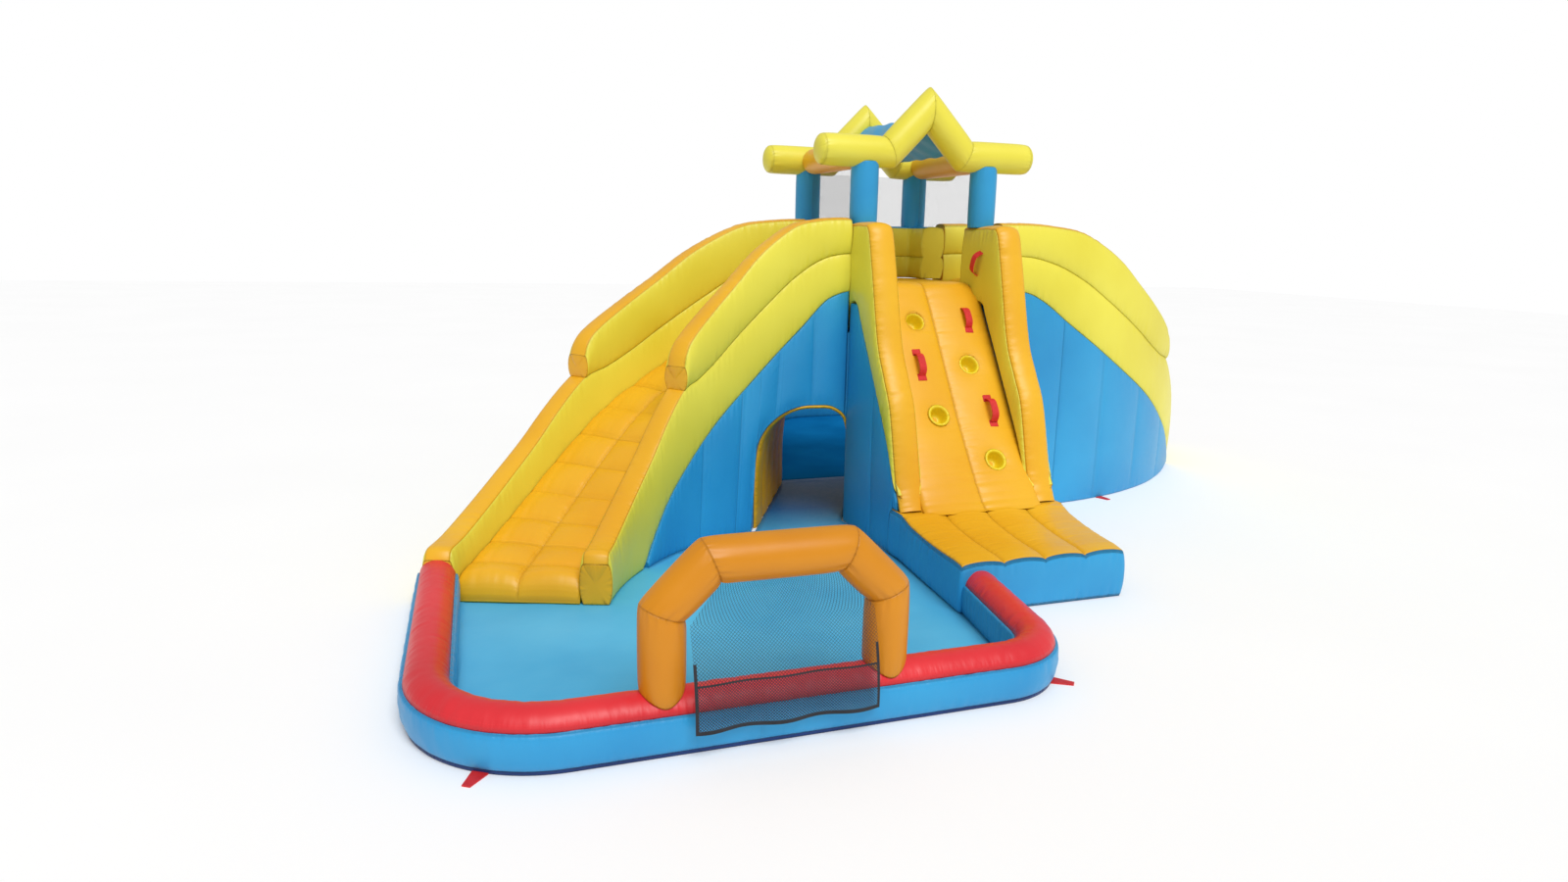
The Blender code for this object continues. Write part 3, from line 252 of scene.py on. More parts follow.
# Metres from a seam to where the fabric's own folds, puckers and seam shade end, and its finest details
FOLDS_END, PUCKERS_END, SEAM_HALF = 0.07, 0.02, 0.0045
STITCH_OFF, STITCH_HALF, STITCH_WAVE, WEAVE_WAVE = 0.0095, 0.0011, 900.0, 3300.0
# Metres from a seam to the crests of modelled gathers, beside tubes and in the channels of beds
GATHER_REACH, CREASE_REACH = 0.022, 0.03
# Lengths of the folds beside a panel's first and second seam, and beside its cross seams
FIRST_FOLDS, SECOND_FOLDS, CROSS_FOLDS = (0.045, 0.071, 0.12), (0.05, 0.066, 0.11), (0.04, 0.065)
DRAWN_REACH = 0.05
DOME_ROWS = 5
FAR_OFF = 9.0


def coated(name, colour, shade, gather=0.0046, crumple=0.0020, painted_shade_band=None, gloss=0.12):
    """Coated fabric with a satin face. The tone drifts by a few per cent, short folds stand square to the
    seams and fade away from them, a fine weave covers it all, and a row of stitches follows each seam.
    Where painted_shade_band is given as (from, to, colour), the tone turns to that colour between those Y
    places, as painted shade."""
    paint = Paint(name, 0.4)
    spot = paint.coordinates("Object")
    along, off = paint.parts(paint.coordinates("UV"), "XY")
    drift = (paint.noise(spot, 1.3, 3.0) * 2.4 - 0.7).clamped()
    near_seam, hugging, in_seam = ((1.0 - off / end).clamped() for end in (FOLDS_END, PUCKERS_END, SEAM_HALF))
    folds = paint.noise(paint.point(along * 24.0, off * 5.0), 1.0) - 0.5
    puckers = paint.noise(paint.point(along * 75.0, off * 16.0, 4.0), 1.0, 1.0) - 0.5
    soft = paint.noise(spot, 5.0, 1.0) - 0.5
    weave = (along * WEAVE_WAVE).sine() * (off * WEAVE_WAVE).sine()
    paint.raised(folds * near_seam * near_seam * (gather * 2.6) + puckers * hugging * gather
                 + soft * crumple * 2.0 + weave * 0.00003 - in_seam * 0.0025)
    # Painted shade: the tone darkens in each seam's groove and over the puckers beside it
    painted_seam_shade = tuple(v * 0.55 for v in shade[:3]) + (1.0,)
    thread = tuple(min(1.0, v * 1.25) for v in colour[:3]) + (1.0,)
    tone = paint.blend(in_seam * 0.26 + hugging * 0.12, paint.blend(drift, shade, colour), painted_seam_shade)
    # Painted shade: across a band of Y places the tone turns to a darker colour
    if painted_shade_band:
        start, end, shade_tone = painted_shade_band
        place, = paint.parts(spot, "Y")
        tone = paint.blend(((place - start) / (end - start)).clamped(), tone, shade_tone)
    row = (1.0 - (off - STITCH_OFF).absolute() / STITCH_HALF).clamped()
    dashes = ((along * STITCH_WAVE).sine() * 4.0).clamped()
    paint.send("Base Color", paint.blend(row * dashes * 0.3, tone, thread))
    paint.send("Roughness", 0.33 + paint.noise(spot, 34.0, 3.0) * 0.16)
    paint.send("Coat Weight", gloss)
    paint.send("Specular IOR Level", 3 * gloss)
    paint.send("Coat Roughness", 0.30)
    return paint.material


YELLOW = coated("yellow_fabric", screen(238, 228, 82), screen(226, 212, 62))
ORANGE = coated("orange_fabric", screen(238, 184, 36), screen(228, 164, 22))
BLUE = coated("blue_fabric", screen(52, 164, 216), screen(36, 142, 200))
WALL_FINISHES = (YELLOW, ORANGE)


def unit(rows):
    """Rows of vectors, each made one long."""
    return rows / np.linalg.norm(rows, axis=1)[:, None]


def metres_along(points):
    """Metres along a line to each of its points."""
    return np.concatenate([[0.0], np.cumsum(np.linalg.norm(np.diff(points, axis=0), axis=1))])


def eased(table, where):
    """Heights read from a table of shares: cubics between its points, with slopes from their neighbours."""
    xs, ys = np.array(table).T
    slopes = np.gradient(ys, xs)
    i = np.clip(np.searchsorted(xs, where) - 1, 0, len(xs) - 2)
    h = xs[i + 1] - xs[i]
    t = np.clip((where - xs[i]) / h, 0.0, 1.0)
    start = (1 + 2 * t) * (1 - t) ** 2 * ys[i] + t * (1 - t) ** 2 * h * slopes[i]
    return start + t ** 2 * (3 - 2 * t) * ys[i + 1] + t ** 2 * (t - 1) * h * slopes[i + 1]


def slide_places(side, share, across, height):
    """Points on a slide: a straight run from the tower, then an arc. across grows away from its centre."""
    share, across, height = np.broadcast_arrays(share, across, height)
    sign = 1.0 if side == "left" else -1.0
    angle = np.maximum(share, 0.0) * SLIDE_BEND_ANGLE
    radius = SLIDE_BEND_RADIUS + across
    x = TOWER_HALF_WIDTH + SLIDE_RUNS[side] + np.minimum(share, 0.0) * SLIDE_BEND + radius * np.sin(angle)
    y = radius * np.cos(angle) - SLIDE_BEND_RADIUS
    return np.stack([TOWER_X - sign * x, TOWER_Y + SLIDE_AXIS_Y + sign * y, height], axis=-1)


def folded(where, lengths, seed):
    """A rough line about nought: arches |sin| of several lengths, each from its own fixed start."""
    starts = np.random.default_rng(seed)
    bent = where + 0.02 * np.sin(where * 17.0 + starts.uniform(0, 6))
    total = np.zeros_like(where)
    for length in lengths:
        total += np.abs(np.sin(np.pi * bent / length + starts.uniform(0, np.pi))) - 2 / np.pi
    loud = 0.65 + 0.35 * np.sin(where * 9.0 + starts.uniform(0, 6))
    return total * loud / len(lengths)


def beside(off, reach):
    """How strong a gather is: it grows from a seam to 1 at the reach, then fades, as x * exp(1 - x)."""
    return off / reach * np.exp(1 - off / reach)


def arched(share, power):
    """A pad's height over a share of its width: the sine of half a turn, raised to a power."""
    return np.sin(np.pi * share) ** power


def between(where, marks):
    """For each place, its share of the way between the marks on either side, and metres to the nearer."""
    marks = np.sort(np.asarray(marks, float))
    k = np.clip(np.searchsorted(marks, where), 1, len(marks) - 1)
    share = np.clip((where - marks[k - 1]) / (marks[k] - marks[k - 1]), 0.0, 1.0)
    return share, np.minimum(share, 1 - share) * (marks[k] - marks[k - 1])


def seam_map(way, off):
    """Rows of metres along the nearest seam and metres away from it."""
    return np.stack(np.broadcast_arrays(way, off), axis=-1).reshape(-1, 2)


def lay_mesh(name, points, faces, spots, tints, finishes):
    """An object from points, faces as rows of corner numbers, the map of each point, and each face's tint.

    No point lies below the ground. Where the signed volume under the first faces is negative, every
    face is turned about.
    """
    points = np.array(points, float).reshape(-1, 3)
    points[:, 2] = np.maximum(points[:, 2], 0.0)
    first = faces[0]
    a, b, c = points[first[:, 0]], points[first[:, 1]], points[first[:, 2]]
    total = np.einsum("ij,ij->i", a, np.cross(b, c)).sum()
    if first.shape[1] == 4:
        total += np.einsum("ij,ij->i", a, np.cross(c, points[first[:, 3]])).sum()
    if total < 0:
        faces = [f[:, ::-1] for f in faces]
    mesh = bpy.data.meshes.new(name)
    mesh.from_pydata(points.tolist(), [], [row for f in faces for row in f.tolist()])
    corners = np.empty(len(mesh.loops), int)
    mesh.loops.foreach_get("vertex_index", corners)
    mesh.uv_layers.new(name="seams").data.foreach_set("uv", spots[corners].astype(np.float32).ravel())
    mesh.polygons.foreach_set("material_index", np.asarray(tints, np.int32))
    mesh.shade_smooth()
    for finish in finishes:
        mesh.materials.append(finish)
    return placed(name, mesh)


def ring_faces(rings, columns, closed=True, looped=False):
    """Corner numbers of the quads between rings of points. Closed rings join their last column to their
    first, and in a looped set the last ring joins the first."""
    i, j = np.meshgrid(np.arange(rings if looped else rings - 1),
                       np.arange(columns if closed else columns - 1), indexing="ij")
    after, right = (i + 1) % rings, (j + 1) % columns
    quads = [i * columns + j, i * columns + right, after * columns + right, after * columns + j]
    return np.stack(quads, -1).reshape(-1, 4)


def end_fans(rings, columns):
    """Corner numbers of the triangles from two poles, numbered last, to the first and the last ring."""
    j = np.arange(columns)
    right = (j + 1) % columns
    last, pole = (rings - 1) * columns, np.full(columns, rings * columns)
    return np.concatenate([np.stack([pole, right, j], 1), np.stack([pole + 1, last + j, last + right], 1)])


def close_ends(rings, spots, ahead, domes):
    """Adds dome rings and a pole to each end: rings shrink by a cosine as they move out by a sine."""
    turns = np.arange(1, DOME_ROWS + 1) / (DOME_ROWS + 1) * math.pi / 2
    poles, pole_spots = [], []
    for end, dome, out in ((0, domes[0], -ahead[0]), (-1, domes[1], ahead[-1])):
        rim, centre = rings[end], rings[end].mean(axis=0)
        size = np.linalg.norm(rim - centre, axis=1)
        cap = [centre + (rim - centre) * math.cos(a) + out * (dome * math.sin(a)) for a in turns]
        cap_spots = [np.stack([metres_along(rim), size * (1 - math.cos(a))], axis=1) for a in turns]
        if end == 0:
            rings, spots = np.concatenate([cap[::-1], rings]), np.concatenate([cap_spots[::-1], spots])
        else:
            rings, spots = np.concatenate([rings, cap]), np.concatenate([spots, cap_spots])
        poles.append(centre + out * dome)
        pole_spots.append((0.0, float(size.mean())))
    return rings, spots, np.array(poles), np.array(pole_spots)


def skin(name, rings, spots, ahead, domes, column_tints, cap_tint, finishes):
    """A closed skin over rings of points with domed ends."""
    rings, spots, poles, pole_spots = close_ends(rings, spots, ahead, domes)
    count, columns = rings.shape[:2]
    fans = end_fans(count, columns)
    tints = np.tile(column_tints, (count - 1, 1))
    tints[:DOME_ROWS] = tints[-DOME_ROWS:] = cap_tint
    return lay_mesh(name, np.concatenate([rings.reshape(-1, 3), poles]), [ring_faces(count, columns), fans],
                    np.concatenate([spots.reshape(-1, 2), pole_spots]),
                    np.concatenate([tints.ravel(), np.full(len(fans), cap_tint)]), finishes)


def stands_for(piece, nodes):
    """Puts a piece in place of solids of the frame, on their body."""
    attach(piece, "inflatable")
    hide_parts(*([nodes] if isinstance(nodes, str) else nodes))


def pillow(name, slot, seams, bulges, cells, finishes, tints=(), domes=(0.0, 0.0), cap_tint=0, gather=0.0075,
           fullness=0.62, cross=(), cross_depth=0.8, lead=None, drawn=None, nodes=None, seed=1):
    """An air chamber swept along rings of seams, seams being (stations, seams, 3).

    Each panel bows out from the chord between two seams by bulge * (4 t (1 - t)) ** fullness. Folds of
    height gather stand square to each seam and fade away from it. At the cross seams, given in metres
    along the sweep, the bow falls to 1 - cross_depth of itself. The sweep runs along the middle of the
    lead seams. Where drawn is given, it returns for points the metres to one more seam, to which the
    panels are drawn in.
    """
    seams = np.asarray(seams, float)
    count, panels = seams.shape[:2]
    centre = seams[:, lead or slice(None)].mean(axis=1)
    ahead = unit(np.gradient(centre, axis=0))
    way = metres_along(centre)
    swell, cross_off = np.ones(count), np.full(count, FAR_OFF)
    if cross:
        share, cross_off = between(way, cross)
        swell = 1 - cross_depth * (1 - arched(share, 0.45))
    chords = np.roll(seams, -1, axis=1) - seams
    widths = np.linalg.norm(chords, axis=2)
    outs = np.cross(ahead[:, None], chords)
    outs /= np.maximum(np.linalg.norm(outs, axis=2), 1e-9)[..., None]
    # A flat ring of two seams faces nowhere, and is turned about too
    if (np.einsum("ijk,ijk->ij", outs, seams + chords / 2 - centre[:, None]) * widths).sum() <= 0:
        outs = -outs
    columns, maps = [], []
    for j in range(panels):
        t = ((1 - np.cos(np.pi * np.arange(cells[j]) / cells[j])) / 2)[None, :]
        off = np.minimum(t, 1 - t) * widths[:, j, None]
        folds = np.where(t < 0.5, folded(way, FIRST_FOLDS, seed + 2 * j)[:, None],
                         folded(way, SECOND_FOLDS, seed + 2 * j + 1)[:, None])
        bulge = np.broadcast_to(bulges[j], (count,))[:, None]
        bow = 4 * t * (1 - t)
        lift = bulge * swell[:, None] * bow ** fullness
        lift = lift + gather * folds * beside(off, GATHER_REACH) * (bulge > 0)
        if cross:
            ripples = folded(t * widths[:, j, None], CROSS_FOLDS, seed + 50 + j)
            lift = lift + gather * 0.8 * ripples * beside(cross_off, GATHER_REACH)[:, None] * bow ** 0.5
        places = seams[:, j, None] + chords[:, j, None] * t[..., None]
        nearest = np.minimum(off, cross_off[:, None])
        if drawn:
            apart = drawn(places)
            lift = lift * np.sqrt(1 - np.exp(-(apart / DRAWN_REACH) ** 2))
            nearest = np.minimum(nearest, apart)
        columns.append(places + outs[:, j, None] * lift[..., None])
        maps.append(np.stack(np.broadcast_arrays(way[:, None], nearest), axis=-1))
    piece = skin(f"{name}_fabric", np.concatenate(columns, 1), np.concatenate(maps, 1), ahead, domes,
                 np.repeat(tints or [0] * panels, cells), cap_tint, finishes)
    stands_for(piece, nodes or name)


def first_share(side):
    """The share of the bend at the tower's side."""
    return (GAP - SLIDE_RUNS[side]) / SLIDE_BEND


def panel_marks(side, offset):
    """Metres along a slide's panel to its upright seams, from its end at the tower to past its other end."""
    bend = SLIDE_BEND * (1 + offset / SLIDE_BEND_RADIUS)
    return [0.0] + [(s - first_share(side)) * bend for s in PANEL_SEAM_SHARES[side]] + [SLIDE_BEND * 1.3]


def make_panel(name, rings, cells, **more):
    """An upright blue panel, full between its seams and drawn in at them."""
    pillow(name, "blue", rings, (0.020, 0.0, 0.020, 0.0), (cells, 6, cells, 6), (BLUE,), gather=0.005,
           fullness=0.35, cross_depth=0.9, **more)


def rounded_end(left, radius):
    """How far an edge drops near a rounded end, from the metres left to that end: a quarter circle."""
    inside = np.clip(radius - left, 0.0, radius)
    return radius - np.sqrt(np.maximum(radius ** 2 - inside ** 2, 0.0))


def wall_seams(side, offset, shares, low, high, foot_half=WALL_WAIST):
    """Four seams of a tube or panel: foot and top on its one side, then top and foot on its other."""
    corners = ((-foot_half, low), (-WALL_WAIST, high), (WALL_WAIST, high), (foot_half, low))
    return np.stack([slide_places(side, shares, offset + across, z) for across, z in corners], axis=1)


def make_slide_wall(side, where, offset, seed):
    """A side wall's lower tube, its upper tube up to the rounded shoulder, and the panel under them."""
    shares = np.linspace(first_share(side), 1.0, WALL_STATIONS)
    seam = eased(TUBE_SEAM_SHARES, shares) * DECK_HEIGHT
    foot = np.maximum(eased(WALL_FOOT_SHARES, shares) * DECK_HEIGHT, POOL_FLOOR_THICKNESS + GAP)
    end_drop = rounded_end((1.0 - shares) * SLIDE_BEND, WALL_END_RADIUS)
    lower = wall_seams(side, offset, shares, foot, seam - end_drop)
    past_shoulder = np.clip((shares - SHOULDER_SHARE) * 40, 0.0, 1.0)
    short = shares[shares <= SHOULDER_SHARE]
    top = eased(TOP_SHARES, short) * DECK_HEIGHT - 0.008
    top = top - rounded_end((SHOULDER_SHARE - short) * SLIDE_BEND, SHOULDER_RADIUS)
    upper = wall_seams(side, offset, short, seam[:len(short)] + GAP, top)
    for level, rings, bulge, top_bulge, cells, dome, more in (
            ("lower", lower, 0.020, 0.012 * past_shoulder, 14, 0.014, 0),
            ("upper", upper, 0.022, 0.014, 16, 0.018, 7)):
        pillow(f"{side}_slide_{where}_{level}_tube", "yellow", rings, (bulge, top_bulge, bulge, 0.0),
               (cells, 10, cells, 4), WALL_FINISHES, (0, 1, 0, 0), (0.0, dome), 1, seed=seed + more)
    # The left slide's panels have the doorway in them and are made in the next section
    if side == "right":
        high = foot > LEAST_PANEL
        rings = wall_seams(side, offset, shares[high], 0.0, foot[high] - GAP, PANEL_HALF)
        make_panel(f"{side}_slide_{where}_panel", rings, 34, cross=panel_marks(side, offset), seed=seed + 13)


def border_of(rows, columns):
    """The numbers of the points round the border of a grid, in order."""
    last = rows * columns - 1
    return np.concatenate([np.arange(columns), np.arange(1, rows) * columns + columns - 1,
                           last - np.arange(1, columns), np.arange(rows - 2, 0, -1) * columns])


def quilt(name, top, under, off, way, finish):
    """A closed quilted slab between a grid of points on top and one below, with its map for the top."""
    rows, columns = top.shape[:2]
    half = rows * columns
    quads, rim = ring_faces(rows, columns, closed=False), border_of(rows, columns)
    right = np.roll(rim, -1)
    walls = np.stack([rim, right, right + half, rim + half], 1)
    faces = np.concatenate([quads, quads[:, ::-1] + half, walls[:, ::-1]])
    maps = seam_map(way, off)
    return lay_mesh(name, np.stack([top, under]), [faces], np.concatenate([maps, maps + (0.0, 0.05)]),
                    np.zeros(len(faces), int), (finish,))


def orange_quilt(node, top, under, off, way):
    """A quilted slab of orange fabric in place of a node of the frame."""
    stands_for(quilt(f"{node}_fabric", top, under, off, way, ORANGE), node)


def make_slide_bed(side, seed):
    """Two columns of plump pads between cross channels, rolled over at the foot of the slide."""
    half = SLIDE_BED_WIDTH / 2 - GAP
    shares = np.linspace(first_share(side), 1.0, BED_STATIONS)
    across = np.linspace(-1.0, 1.0, BED_COLUMNS) * half
    way = (shares - shares[0]) * SLIDE_BEND
    along, channel_off = between(way, np.linspace(0.0, way[-1], BED_BAFFLES + 1))
    column, seam_off = between(across, (-half, 0.0, half))
    height = eased(BED_SHARES, shares) * DECK_HEIGHT
    lift = PAD_RISE * arched(along, 0.50)[:, None] * arched(column, 0.45) - CHANNEL_SINK
    channel_folds = folded(across, (0.035, 0.06, 0.11), seed) * beside(channel_off, CREASE_REACH)[:, None]
    seam_folds = folded(way, (0.04, 0.065, 0.09), seed + 1)[:, None] * beside(seam_off, CREASE_REACH)
    lift = lift + CHANNEL_FOLD * channel_folds + SEAM_FOLD * seam_folds
    roll = rounded_end((1.0 - shares) * SLIDE_BEND, BED_FOOT_RADIUS)
    top = slide_places(side, shares[:, None], across, (height - roll)[:, None] + lift)
    floor_level = POOL_FLOOR_THICKNESS + GAP
    top[..., 2] = np.maximum(top[..., 2], floor_level + 0.004)
    base = np.maximum(height - SLIDE_BED_THICKNESS, floor_level)[:, None]
    under = slide_places(side, shares[:, None], across, base)
    orange_quilt(f"{side}_slide_bed", top, under, np.minimum(channel_off[:, None], seam_off), way[:, None])


for number, side in enumerate(("left", "right")):
    make_slide_bed(side, 100 + number)
    for place, (where, offset) in enumerate(WALLS):
        make_slide_wall(side, where, offset, 200 + 40 * number + 20 * place)


# Doorway and tunnel
# The doorway leads through the left slide's two upright panels and the tower's two panels. Its outline
# leans to the right towards the back, and an orange liner with cross seams holds the panels apart.
POST_Y = 0.475
PANEL_THICKNESS = 0.13
FRONT_PLANE_Y = SLIDE_AXIS_Y - WALL_OFFSET - PANEL_THICKNESS / 2
REAR_PLANE_Y = POST_Y + PANEL_THICKNESS / 2
FRONT_PANEL_HEIGHT = 1.20
DECK_THICKNESS = 0.12
TOWER_PANELS = (("front", FRONT_PLANE_Y + PANEL_THICKNESS / 2, FRONT_PANEL_HEIGHT),
                ("back", POST_Y, DECK_HEIGHT - DECK_THICKNESS - GAP))
TOWER_PANEL_SEAMS = (0.0, 0.35, 0.70, 1.05)
DOOR_LEFT_X = -1.11
DOOR_WIDTH = 0.63
DOOR_SPRING_HEIGHT = 0.44
DOOR_HEIGHT = 0.755
DOOR_CORNER_SHARES = ((0.015, 0.0), (0.04, 0.30), (0.12, 0.60), (0.26, 0.84), (0.44, 0.98), (0.62, 1.0),
                      (0.80, 0.96), (0.92, 0.80), (0.985, 0.45), (0.99, 0.0))
TUNNEL_LEAN = 0.51
TUNNEL_INSET = 0.004
LINER_THICKNESS = 0.025
LINER_PUFF = 0.016
LINER_BAFFLES = 5
# Stations of a door panel over its doorway and along the ground beyond it
OVER_DOOR, PAST_DOOR = 110, 149


def smoothed(marks, points, where):
    """A smooth line through points, read at places between their marks."""
    return np.stack([eased(np.stack([marks, axis], axis=1), where) for axis in np.transpose(points)], axis=1)


def resampled(points, count):
    """A smooth line through points, at evenly spaced places along it."""
    way = metres_along(points)
    return smoothed(way, points, np.linspace(0.0, way[-1], count))


door_rise = DOOR_HEIGHT - DOOR_SPRING_HEIGHT
DOOR_LINE = resampled([(0.0, 0.0)] + [(a * DOOR_WIDTH, DOOR_SPRING_HEIGHT + up * door_rise)
                                      for a, up in DOOR_CORNER_SHARES] + [(DOOR_WIDTH, 0.0)], 160)


def across_door(places):
    """How far places lie to the right of the doorway's left jamb, the lean taken out."""
    shift = TUNNEL_LEAN * (places[..., 1] - TOWER_Y - FRONT_PLANE_Y)
    return places[..., 0] - TOWER_X - shift - DOOR_LEFT_X


def off_door(places):
    """Metres from places to the doorway's outline, in the upright plane."""
    flat = np.stack([across_door(places), places[..., 2]], axis=-1).reshape(-1, 2)
    nearest = np.full(len(flat), FAR_OFF)
    for spot in DOOR_LINE[::2]:
        nearest = np.minimum(nearest, np.hypot(*(flat - spot).T))
    return nearest.reshape(places.shape[:-1])


def in_tower(x, y, z):
    """World places from the tower's own frame."""
    x, y, z = np.broadcast_arrays(x, y, z)
    return np.stack([TOWER_X + x, TOWER_Y + y, z], axis=-1)


def make_door_panel(name, line, runs, top_at, to_left, cross, seed):
    """An upright panel that starts over the doorway, passes its one jamb and goes on along the ground.

    line gives places for distances along the panel and across it, and top_at its top heights.
    """
    numbers = np.arange(len(DOOR_LINE))
    feet, heights = [], []
    for across in (-PANEL_HALF, PANEL_HALF):
        spread = across_door(line(runs, across))
        first = np.interp(spread[0], DOOR_LINE[:, 0], numbers)
        picks = np.linspace(first, 0.0 if to_left else len(DOOR_LINE) - 1.0, OVER_DOOR)
        along, up = (np.interp(picks, numbers, axis) for axis in DOOR_LINE.T)
        order = np.argsort(spread)
        over = np.maximum.accumulate(np.interp(along, spread[order], runs[order]))
        feet.append(np.concatenate([over, np.linspace(over[-1], runs[-1], PAST_DOOR + 1)[1:]]))
        heights.append(np.concatenate([up, np.zeros(PAST_DOOR)]))
    tops = np.linspace(0.0, 0.004, len(feet[0])) + (feet[0] + feet[1]) / 2
    high = top_at(tops)
    corners = ((feet[0], -PANEL_HALF, heights[0]), (tops, -WALL_WAIST, high), (tops, WALL_WAIST, high),
               (feet[1], PANEL_HALF, heights[1]))
    rings = [line(run, across) + np.stack([0 * z, 0 * z, z], axis=-1) for run, across, z in corners]
    make_panel(name, np.stack(rings, axis=1), 40, cross=cross, lead=[1, 2], drawn=off_door, seed=seed)


slide_runs = np.linspace(first_share("left"), 0.73, 400)
slide_runs = slide_runs[eased(WALL_FOOT_SHARES, slide_runs) > LEAST_PANEL / DECK_HEIGHT]
for place, (where, offset) in enumerate(WALLS):
    make_door_panel(f"left_slide_{where}_panel",
                    lambda s, a, offset=offset: slide_places("left", s, offset + a, 0.0), slide_runs,
                    lambda s: eased(WALL_FOOT_SHARES, s) * DECK_HEIGHT - GAP, True,
                    panel_marks("left", offset), 300 + 20 * place)
for place, (where, panel_y, high) in enumerate(TOWER_PANELS):
    make_door_panel(f"tower_{where}_panel", lambda s, a, y=panel_y: in_tower(s, y + a, 0.0),
                    np.linspace(-TOWER_HALF_WIDTH + GAP, TOWER_HALF_WIDTH - GAP, 300),
                    lambda s, high=high: np.full_like(s, high), False, TOWER_PANEL_SEAMS, 340 + 20 * place)


def make_liner():
    """The arch of fabric through the tunnel: an outer and an inner skin, puffed between cross seams."""
    y = np.linspace(FRONT_PLANE_Y + TUNNEL_INSET, REAR_PLANE_Y - TUNNEL_INSET, 120)
    share, seam_off = between(y - y[0], np.linspace(0.0, y[-1] - y[0], LINER_BAFFLES + 1))
    tangent = unit(np.gradient(DOOR_LINE, axis=0))
    inward = np.stack([tangent[:, 1], -tangent[:, 0]], axis=1)
    start_x = DOOR_LEFT_X + TUNNEL_LEAN * (y - FRONT_PLANE_Y)
    skins = []
    for depth in (0.0 * y, LINER_THICKNESS / 2 + LINER_PUFF * arched(share, 0.5)):
        x, z = np.moveaxis(DOOR_LINE + inward * (GAP * 3 + depth)[:, None, None], -1, 0)
        skins.append(in_tower(start_x[:, None] + x, y[:, None], np.maximum(z, 0.0)))
    orange_quilt("tunnel_liner", skins[1], skins[0], seam_off[:, None], np.arange(len(DOOR_LINE)) * 0.011)


make_liner()


# Tower
# A soft deck between the slides, and a yellow wall of two tubes that goes round the back with a blue
# strip along its top.
BACK_WALL_THICKNESS = 0.18
BACK_SEAM_HEIGHT = 1.65
WALL_TOP = 1.86
CLIMB_BED_DEPTH = 0.14
CLIMB_TOP_Y = -0.52
BACK_CORNER_RADIUS = 0.11
BACK_WALL_BULGE = 0.019
DECK_SINK = 0.012


def grid(rows, columns):
    """Shares from 0 to 1 down and across a grid."""
    return np.meshgrid(np.linspace(0.0, 1.0, rows), np.linspace(0.0, 1.0, columns), indexing="ij")


down, side_share = grid(60, 64)
deck_back, deck_front = POST_Y + BACK_WALL_THICKNESS / 2, CLIMB_TOP_Y + CLIMB_BED_DEPTH + GAP
deck_x = (TOWER_HALF_WIDTH - GAP) * (2 * side_share - 1)
deck_y = deck_front + (deck_back - deck_front) * down
deck_puff = DECK_SINK * (np.sin(np.pi * down) * np.abs(np.sin(2 * np.pi * side_share))) ** 0.5
deck_off = 0.3 * np.minimum(np.minimum(down, 1 - down), side_share)
orange_quilt("tower_deck", in_tower(deck_x, deck_y, DECK_HEIGHT - DECK_SINK + deck_puff),
             in_tower(deck_x, deck_y, DECK_HEIGHT - DECK_THICKNESS), deck_off, deck_y)


def rounded_path(corners, radii, step=0.02):
    """Closely spaced points of a plan path through corners, each inner corner an arc of its own radius."""
    corners = np.asarray(corners, float)
    points = [corners[0]]
    for before, corner, after, radius in zip(corners, corners[1:], corners[2:], radii):
        to_before, to_after = unit(np.stack([before - corner, after - corner]))
        half = math.acos(np.clip(to_before @ to_after, -1, 1)) / 2
        bisector = (to_before + to_after) / np.linalg.norm(to_before + to_after)
        centre = corner + bisector * radius / math.sin(half)
        first, last = (corner + way * radius / math.tan(half) - centre for way in (to_before, to_after))
        turn = math.atan2(first[0] * last[1] - first[1] * last[0], first @ last)
        for share in np.linspace(0.0, 1.0, max(6, int(abs(turn) * radius / step))):
            c, s = math.cos(turn * share), math.sin(turn * share)
            points.append(centre + np.array([[c, -s], [s, c]]) @ first)
    points = np.array(points + [corners[-1]])
    way = metres_along(points)
    where = np.linspace(0.0, way[-1], int(way[-1] / step) + 1)
    return np.stack([np.interp(where, way, axis) for axis in points.T], axis=1)


def left_normals(path, first=None, last=None):
    """Left-hand normals of a closely spaced plan path, its end ones turned and lengthened as given."""
    ahead = unit(np.gradient(path, axis=0))
    normals = np.stack([-ahead[:, 1], ahead[:, 0]], axis=1)
    fade = np.clip(1 - np.arange(len(path)) / 12, 0, 1)[:, None]
    for end, given, share in ((0, first, fade), (-1, last, fade[::-1])):
        if given is not None:
            given = np.asarray(given, float) / np.linalg.norm(given)
            normals = normals + (given / given.dot(normals[end]) - normals[end]) * share
    return normals


def swept(path, normals, section):
    """Rings of seams along a plan path, from (across, height) pairs, in the tower's frame."""
    return np.stack([in_tower(*(path + normals * across).T, height) for across, height in section], axis=1)


half_wall = BACK_WALL_THICKNESS / 2
waist = half_wall - 0.02
reach, wing = TOWER_HALF_WIDTH - half_wall, SLIDE_AXIS_Y + SLIDE_BED_WIDTH / 2 + 3 * GAP
back_path = rounded_path([(-reach, wing), (-reach, POST_Y), (reach, POST_Y), (reach, wing)],
                         (BACK_CORNER_RADIUS, BACK_CORNER_RADIUS))
wall_levels = (DECK_HEIGHT + GAP, BACK_SEAM_HEIGHT, WALL_TOP - 0.012)
section = [(-waist, level) for level in wall_levels] + [(waist, level) for level in reversed(wall_levels)]
pillow("tower_back_wall", "yellow", swept(back_path, left_normals(back_path), section),
       [BACK_WALL_BULGE] * 2 + [0.012] + [BACK_WALL_BULGE] * 2 + [0.0], (12, 14, 8, 14, 12, 4),
       (YELLOW, BLUE), (0, 0, 1, 0, 0, 0), seed=400)
